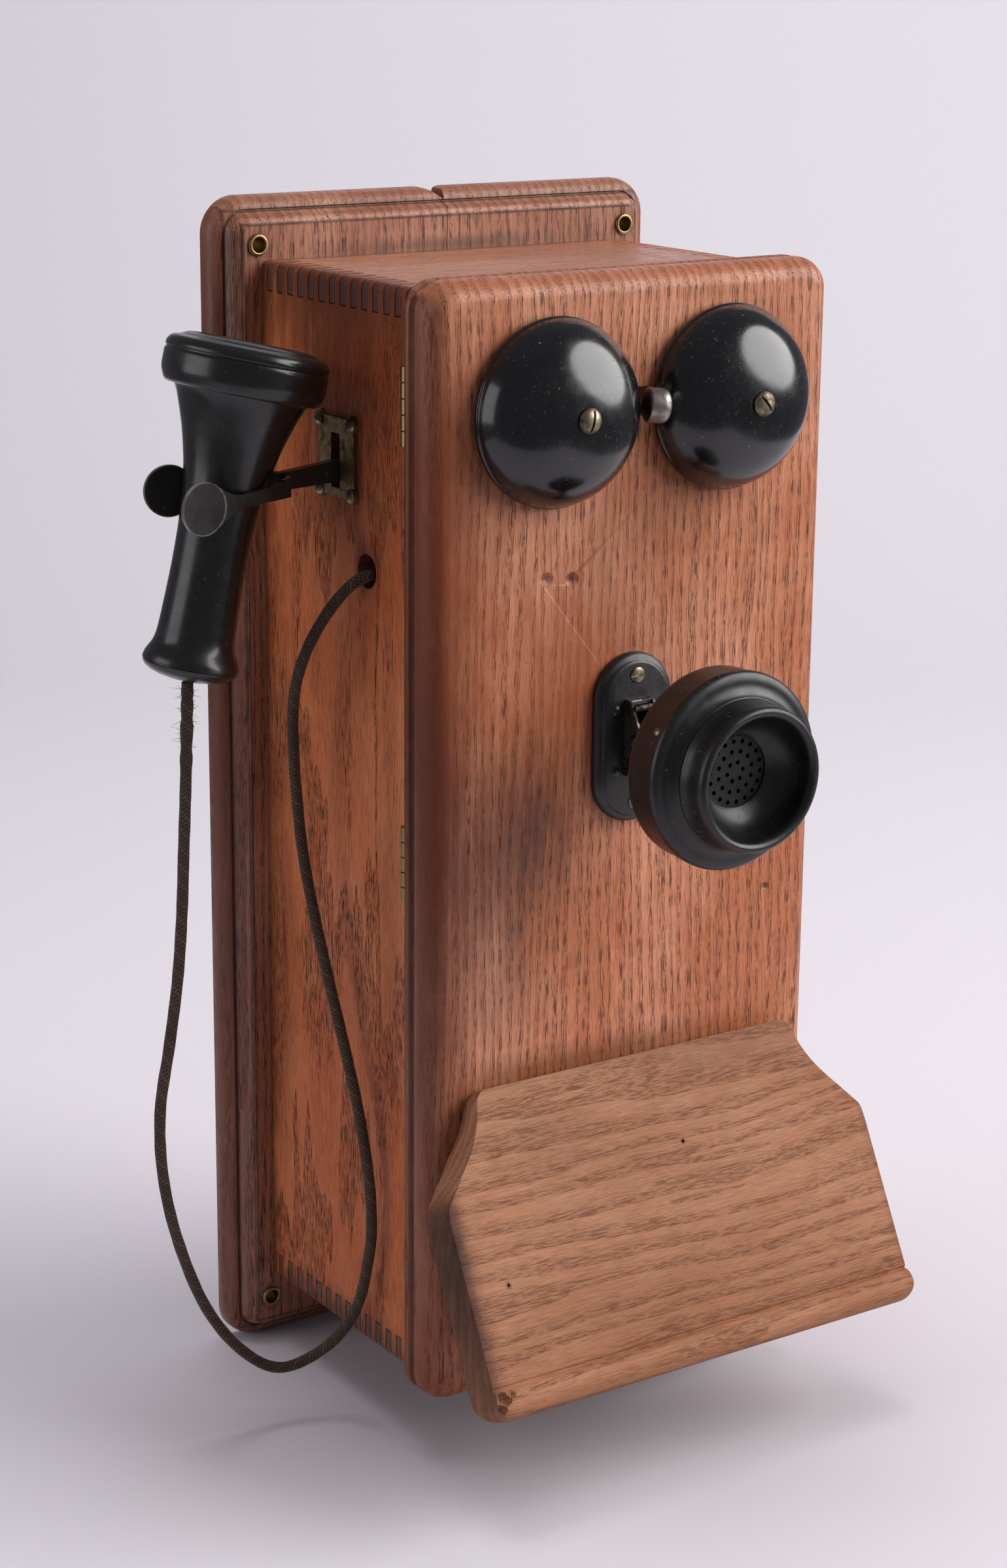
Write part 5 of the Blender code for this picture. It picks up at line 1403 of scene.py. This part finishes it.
def makeTransmitterBase():
    t = transmitter
    place = onFront(t["x"] * mm, -0.1603, t["baseZ"] * mm)
    bm = mouldedShape(19.3 * mm, 36.0 * mm, 19.2 * mm, t["base"], 24)
    finishPiece("basePlate", bm, black["plateEnamel"], "door", ["transmitter_base_plate"], place=place)
    for name, z, turn in (("top", 27, 4), ("bottom", -27, -12)):
        screw = screwShape(3.4, 0.9, 1.9, 4.6, 0.8, 0.75, turn)
        finishPiece(
            "baseScrew" + name.title(), screw, metal["screwMetal"], "door", ["base_screw_" + name],
            place=onFront(t["x"] * mm, -0.1655, (t["baseZ"] + z) * mm), soften=0.1 * mm,
        )
    rivets = bmesh.new()
    for x, z in t["rivets"]:
        dome = ease([(0, 1.15), (1.1, 1.05), (1.9, 0.5), (2.2, 0.02)], 2)
        one = turnedShape(dome + [(2.2, -0.2), (0, -0.2)], 32)
        bmesh.ops.translate(one, vec=(x * mm, z * mm, 5.0 * mm), verts=one.verts)
        addShape(rivets, one)
    finishPiece("baseRivets", rivets, black["plateEnamel"], "door", place=place)
    lug = copyShape("transmitter_lug")
    roll = rodShape(((t["x"] - 6.2) * mm, -0.1722, 0.0618), ((t["x"] + 6.2) * mm, -0.1722, 0.0618),
                    1.25 * mm, 24)
    addShape(lug, roll)
    finishPiece("pivotLug", lug, metal["darkSteel"], "door", ["transmitter_lug"], soften=0.22 * mm)
    pin = ease([(0, 8.1), (1.2, 8.0), (2.3, 7.4), (2.5, 6.7)], 1)
    pin += [(1.5, 6.7), (1.5, -6.7), (2.5, -6.7), (2.3, -7.4), (1.2, -8.0), (0, -8.1)]
    turnedPiece(
        "pivotPin", "transmitter_pin", pin, 32, metal["darkSteel"], "door",
        Matrix.Translation((t["x"] * mm, t["pivotY"] * mm, t["z"] * mm)) @ toRight,
    )


def addShape(bm, other):
    # moves one bmesh into another
    mesh = bpy.data.meshes.new("part")
    other.to_mesh(mesh)
    other.free()
    bm.from_mesh(mesh)
    bpy.data.meshes.remove(mesh)


def makeTransmitter():
    t = transmitter
    place = onFront(t["x"] * mm, t["cupY"] * mm, t["z"] * mm)
    turnedPiece(
        "cupShell", "transmitter_cup", t["cup"], 144, black["cupEnamel"], "transmitter", place, closed=True,
    )
    turnedPiece(
        "cupFace", "transmitter_face", t["face"], 144, black["cupEnamel"], "transmitter", place, closed=True,
    )
    turnedPiece(
        "mouthPiece", "mouthpiece", t["mouth"], 144, black["cupEnamel"], "transmitter", place, closed=True,
    )
    bm = turnedShape([(0, 19.25), (14.5, 19.25), (14.62, 19.1), (14.62, 17.0), (14.4, 16.8), (0, 16.8)], 96)
    tools = []
    for radius, count, first in t["grille"]:
        for i in range(count):
            angle = math.radians(first + 360 * i / count)
            x, y = radius * math.cos(angle) * mm, radius * math.sin(angle) * mm
            tools.append(rodTool((x, y, 0.014), (x, y, 0.022), t["holeRadius"] * mm, 16))
    finishPiece(
        "mouthGrille", reshape(bm, tools), black["cupEnamel"], "transmitter", ["mouthpiece_grille"],
        place=place,
    )
    copyPiece("carbonButton", "carbon_button", carbonBlock, "transmitter", 0.4)
    copyPiece("tiltArm", "transmitter_arm", black["leverLacquer"], "transmitter", 0.3)
    screws = bmesh.new()
    for angle in t["rimScrews"]:
        one = screwShape(1.7, 0.7, 0.8, 1.4, 0.5, 0.45, 20, 24)
        turn = Matrix.Rotation(math.radians(angle), 4, "Z")
        turn = turn @ Matrix.Translation(Vector(t["rimScrewAt"]) * mm) @ toRight
        bmesh.ops.transform(one, matrix=turn, verts=one.verts)
        addShape(screws, one)
    finishPiece("cupScrews", screws, metal["screwMetal"], "transmitter", place=place)


# switch hook

hook = {
    "y": -79.5, "plateZ": 160.1, "plateHalf": (12.4, 14.6), "ear": 3.6, "slotHalf": 3.4,
    "slot": (147.5, 170.0), "thick": 1.3,
    "plateX": -93.2, "screwX": -94.7,
    "screwTurns": {"front_top": 30, "front_bottom": 75, "rear_top": -20, "rear_bottom": 50},
    "pivot": (-66.0, 156.5), "yokeX": -121.0, "near": (-168.0, -22.3), "far": (-160.5, 20.6),
    "paddleZ": 149.0, "paddleRadius": 10.7,
}


def makeEscutcheon():
    across, up = hook["plateHalf"]
    outline = []
    for x, y, start in ((across, up, -60), (-across, up, 30), (-across, -up, 120), (across, -up, 210)):
        outline += arc((x * mm, y * mm), hook["ear"] * mm, start, start + 210, 18)
    low, high = (z - hook["plateZ"] for z in hook["slot"])
    wide = hook["slotHalf"]
    slot = inMm([(-wide, low), (wide, low), (wide, high), (-wide, high)])
    holes = [arc((sx * across * mm, sy * up * mm), 1.6 * mm, 0, 345, 23) for sx in (-1, 1) for sy in (-1, 1)]
    place = lookAlong((0, -1, 0), (0, 0, 1),
                      ((hook["plateX"] - hook["thick"] / 2) * mm, hook["y"] * mm, hook["plateZ"] * mm))
    finishPiece(
        "slotPlate", plateShape([outline, slot, *holes], hook["thick"] * mm), metal["oldBrass"], "cabinet",
        ["hook_escutcheon"], place=place, soften=0.25 * mm,
    )
    for name, turn in hook["screwTurns"].items():
        dy = -across if name.startswith("front") else across
        dz = up if name.endswith("top") else -up
        place = lookAlong((0, 1, 0), (0, 0, -1),
                          (hook["screwX"] * mm, (hook["y"] + dy) * mm, (hook["plateZ"] + dz) * mm))
        screw = screwShape(3.1, 1.7, 1.25, 1.5, 0.7, 0.8, turn, 36)
        finishPiece(
            "plateScrew" + name.title().replace("_", ""), screw, metal["screwMetal"], "cabinet",
            ["escutcheon_screw_" + name], place=place, soften=0.08 * mm,
        )


def makeLever():
    px, pz = hook["pivot"]
    yokeX, y = hook["yokeX"], hook["y"]
    bar = [(px + 5, pz - 3.4), (px + 5, pz + 3.4), (-94, 159.0), (yokeX - 1.4, 155.8), (yokeX - 1.4, 148.8),
           (-94, 150.0)]
    bm = plateShape([inMm(bar)], 4.4 * mm)
    bmesh.ops.transform(bm, matrix=lookAlong((1, 0, 0), (0, 0, 1), (0, y * mm, 0)), verts=bm.verts)
    centre = (yokeX - 12.6, y)
    ring = arc(centre, 15.6, 66, -66, 36) + arc(centre, 13.8, -66, 66, 36)
    tools = [asObject(plateShape([inMm(ring)], 7.2 * mm), Matrix.Translation((0, 0, 151.9 * mm)))]
    tipZ = hook["paddleZ"]
    for side, (tipX, tipY) in ((-1, hook["near"]), (1, hook["far"])):
        root = Vector((yokeX - 3.0, y + side * 13.9, 0)) * mm
        tip = Vector((tipX, y + tipY, 0)) * mm
        reach = (tip - root).length / mm
        top = ease([(0, 155.4), (0.2 * reach, 154.4), (0.4 * reach, 152.9), (0.6 * reach, 152.2),
                    (0.74 * reach, 154.2), (reach - 6.2, 157.6)], 2)
        under = ease([(reach - 6.2, 140.4), (0.74 * reach, 143.8), (0.6 * reach, 146.7),
                      (0.4 * reach, 147.5), (0.2 * reach, 147.9), (0, 148.4)], 2)
        paddle = [(reach - a, tipZ + b) for a, b in arc((0, 0), hook["paddleRadius"], 57, 303, 48)]
        blade = plateShape([inMm(top + paddle + under)], 1.6 * mm)
        tools.append(asObject(blade, lookAlong(tip - root, (0, 0, 1), root)))
    bm = reshape(bm, tools, "UNION")
    bore = boreTool(px, pz, y - 10, y + 10, 1.75)
    finishPiece(
        "hookLever", reshape(bm, [bore]), black["leverLacquer"], "hook", ["hook_lever"], soften=0.38 * mm,
        segments=3,
    )


def makeSwitchWorks():
    copyPiece("leverBracket", "hook_bracket", metal["plainSteel"], "cabinet", 0.25)
    copyPiece("contactStack", "hook_contact_springs", redFibre, "cabinet", 0.15)
    px, pz = hook["pivot"]
    pin = [(0, 8.4), (1.2, 8.3), (1.45, 8.0), (1.45, -8.0), (1.2, -8.3), (0, -8.4)]
    turnedPiece(
        "leverPin", "hook_pivot_pin", pin, 28, metal["plainSteel"], "cabinet",
        onFront(px * mm, hook["y"] * mm, pz * mm),
    )


# receiver

receiver = {
    "seam": (-135.2, -79.5, 201.9), "tilt": 13.1,
    "body": ease([(29.0, -11.2), (27.6, -12.6), (26.2, -14.8), (24.8, -18.0), (22.6, -24.6), (20.6, -31.0),
                  (18.9, -38.0), (17.4, -45.0), (16.4, -52.0), (15.7, -60.0), (15.15, -70.0), (15.0, -82.0),
                  (15.2, -93.0), (15.6, -105.0), (16.0, -112.6), (16.9, -116.4), (18.4, -119.0),
                  (19.5, -121.3), (19.85, -123.2)], 2),
    "tail": [(19.75, -123.7), (19.3, -123.9), (19.3, -124.2), (19.5, -124.4), (19.2, -125.3),
             (18.2, -126.5), (16.2, -127.8), (12.6, -129.1), (8.6, -129.9), (4.2, -130.4), (3.1, -130.3),
             (2.9, -129.6), (0, -129.0)],
    "bore": [(0, -127.4), (9.6, -126.6), (12.2, -124.0), (12.2, -60.0), (13.6, -45.0), (16.2, -31.0),
             (21.0, -17.0), (25.4, -9.0), (25.4, -2.7), (25.6, -2.6), (28.8, -2.6), (29.0, -2.8)],
    "cap": ease([(8.0, 1.6), (8.05, 2.9), (9.0, 3.5), (12.0, 4.4), (16.4, 5.5), (19.6, 6.6), (21.8, 7.6),
                 (24.2, 7.8), (26.2, 7.1), (27.6, 6.2), (29.0, 5.9), (30.9, 5.5), (32.3, 4.2), (33.1, 2.6),
                 (33.1, 1.5)], 2)
    + [(32.9, 1.0), (32.65, 0.8), (32.65, 0.35), (32.9, 0.1), (33.2, -0.5)]
    + ease([(33.3, -1.4), (33.3, -6.9), (33.0, -8.6), (32.3, -10.4), (31.5, -12.2), (30.6, -13.0),
            (29.5, -13.2)], 2)
    + [(29.4, -12.8), (29.4, -1.0), (26.6, -0.8), (26.6, 1.2), (8.2, 1.0)],
}


def makeReceiver():
    tilt = Matrix.Rotation(math.radians(receiver["tilt"]), 4, "Y")
    place = Matrix.Translation(Vector(receiver["seam"]) * mm) @ tilt
    body = receiver["body"] + receiver["tail"] + receiver["bore"]
    turnedPiece(
        "receiverBody", "receiver_shell", body, 128, black["hardRubber"], "receiver", place, closed=True,
    )
    turnedPiece(
        "earCap", "receiver_ear_cap", receiver["cap"], 144, black["hardRubber"], "receiver", place,
        closed=True,
    )
    disc = [(0, -1.4), (28.6, -1.4), (28.8, -1.6), (28.8, -2.0), (28.6, -2.2), (0, -2.2)]
    turnedPiece("diaphragm", "receiver_diaphragm", disc, 96, metal["darkSteel"], "receiver", place)
    copyPiece("receiverMagnet", "receiver_magnet", metal["plainSteel"], "receiver", 0.4)


# works behind the door and in the box

def makeWorks():
    copyPiece("bellFrame", "ringer_frame", metal["plainSteel"], "door", 0.25)
    copyPiece("bellMagnet", "ringer_magnet", metal["darkSteel"], "door", 0.5)
    spool = [(0, 127), (3.7, 127), (4, 126.7), (4, 121), (10.2, 121), (10.5, 120.7), (10.5, 119.3),
             (10.2, 119), (9.2, 119), (9.2, 72), (10.2, 72), (10.5, 71.7), (10.5, 70.3), (10.2, 70), (0, 70)]
    for side, x in (("left", -14), ("right", 14)):
        turnedPiece(
            "bellCoil" + side.title(), "ringer_coil_" + side, spool, 64, uprightThread, "door",
            Matrix.Translation((x * mm, -0.12, 0)),
        )
    copyPiece("condenserCan", "condenser_can", metal["tinPlate"], "cabinet", 0.8, segments=3)
    coil = [(0, 42), (12.7, 42), (13, 41.7), (13, 38.3), (12.7, 38), (9, 38), (9, -38), (12.7, -38),
            (13, -38.3), (13, -41.7), (12.7, -42), (0, -42)]
    turnedPiece(
        "inductionCoil", "induction_coil", coil, 64, sidewaysThread, "cabinet",
        Matrix.Translation((-0.03, -0.032, -0.162)) @ toRight,
    )
    copyPiece("terminalBlock", "terminal_strip", redFibre, "cabinet", 0.3)


addCamera()
addLights()
addFloor()
print("cord")
makeCord()
print("backboard and box")
makeBackboard()
makeEyelets()
makeBox()
makeHinges()
print("door and shelf")
makeDoor()
makeShelf()
print("bell")
makeBell()
makeHammer()
print("transmitter")
makeTransmitterBase()
makeTransmitter()
print("hook and receiver")
makeEscutcheon()
makeLever()
makeSwitchWorks()
makeReceiver()
print("works")
makeWorks()
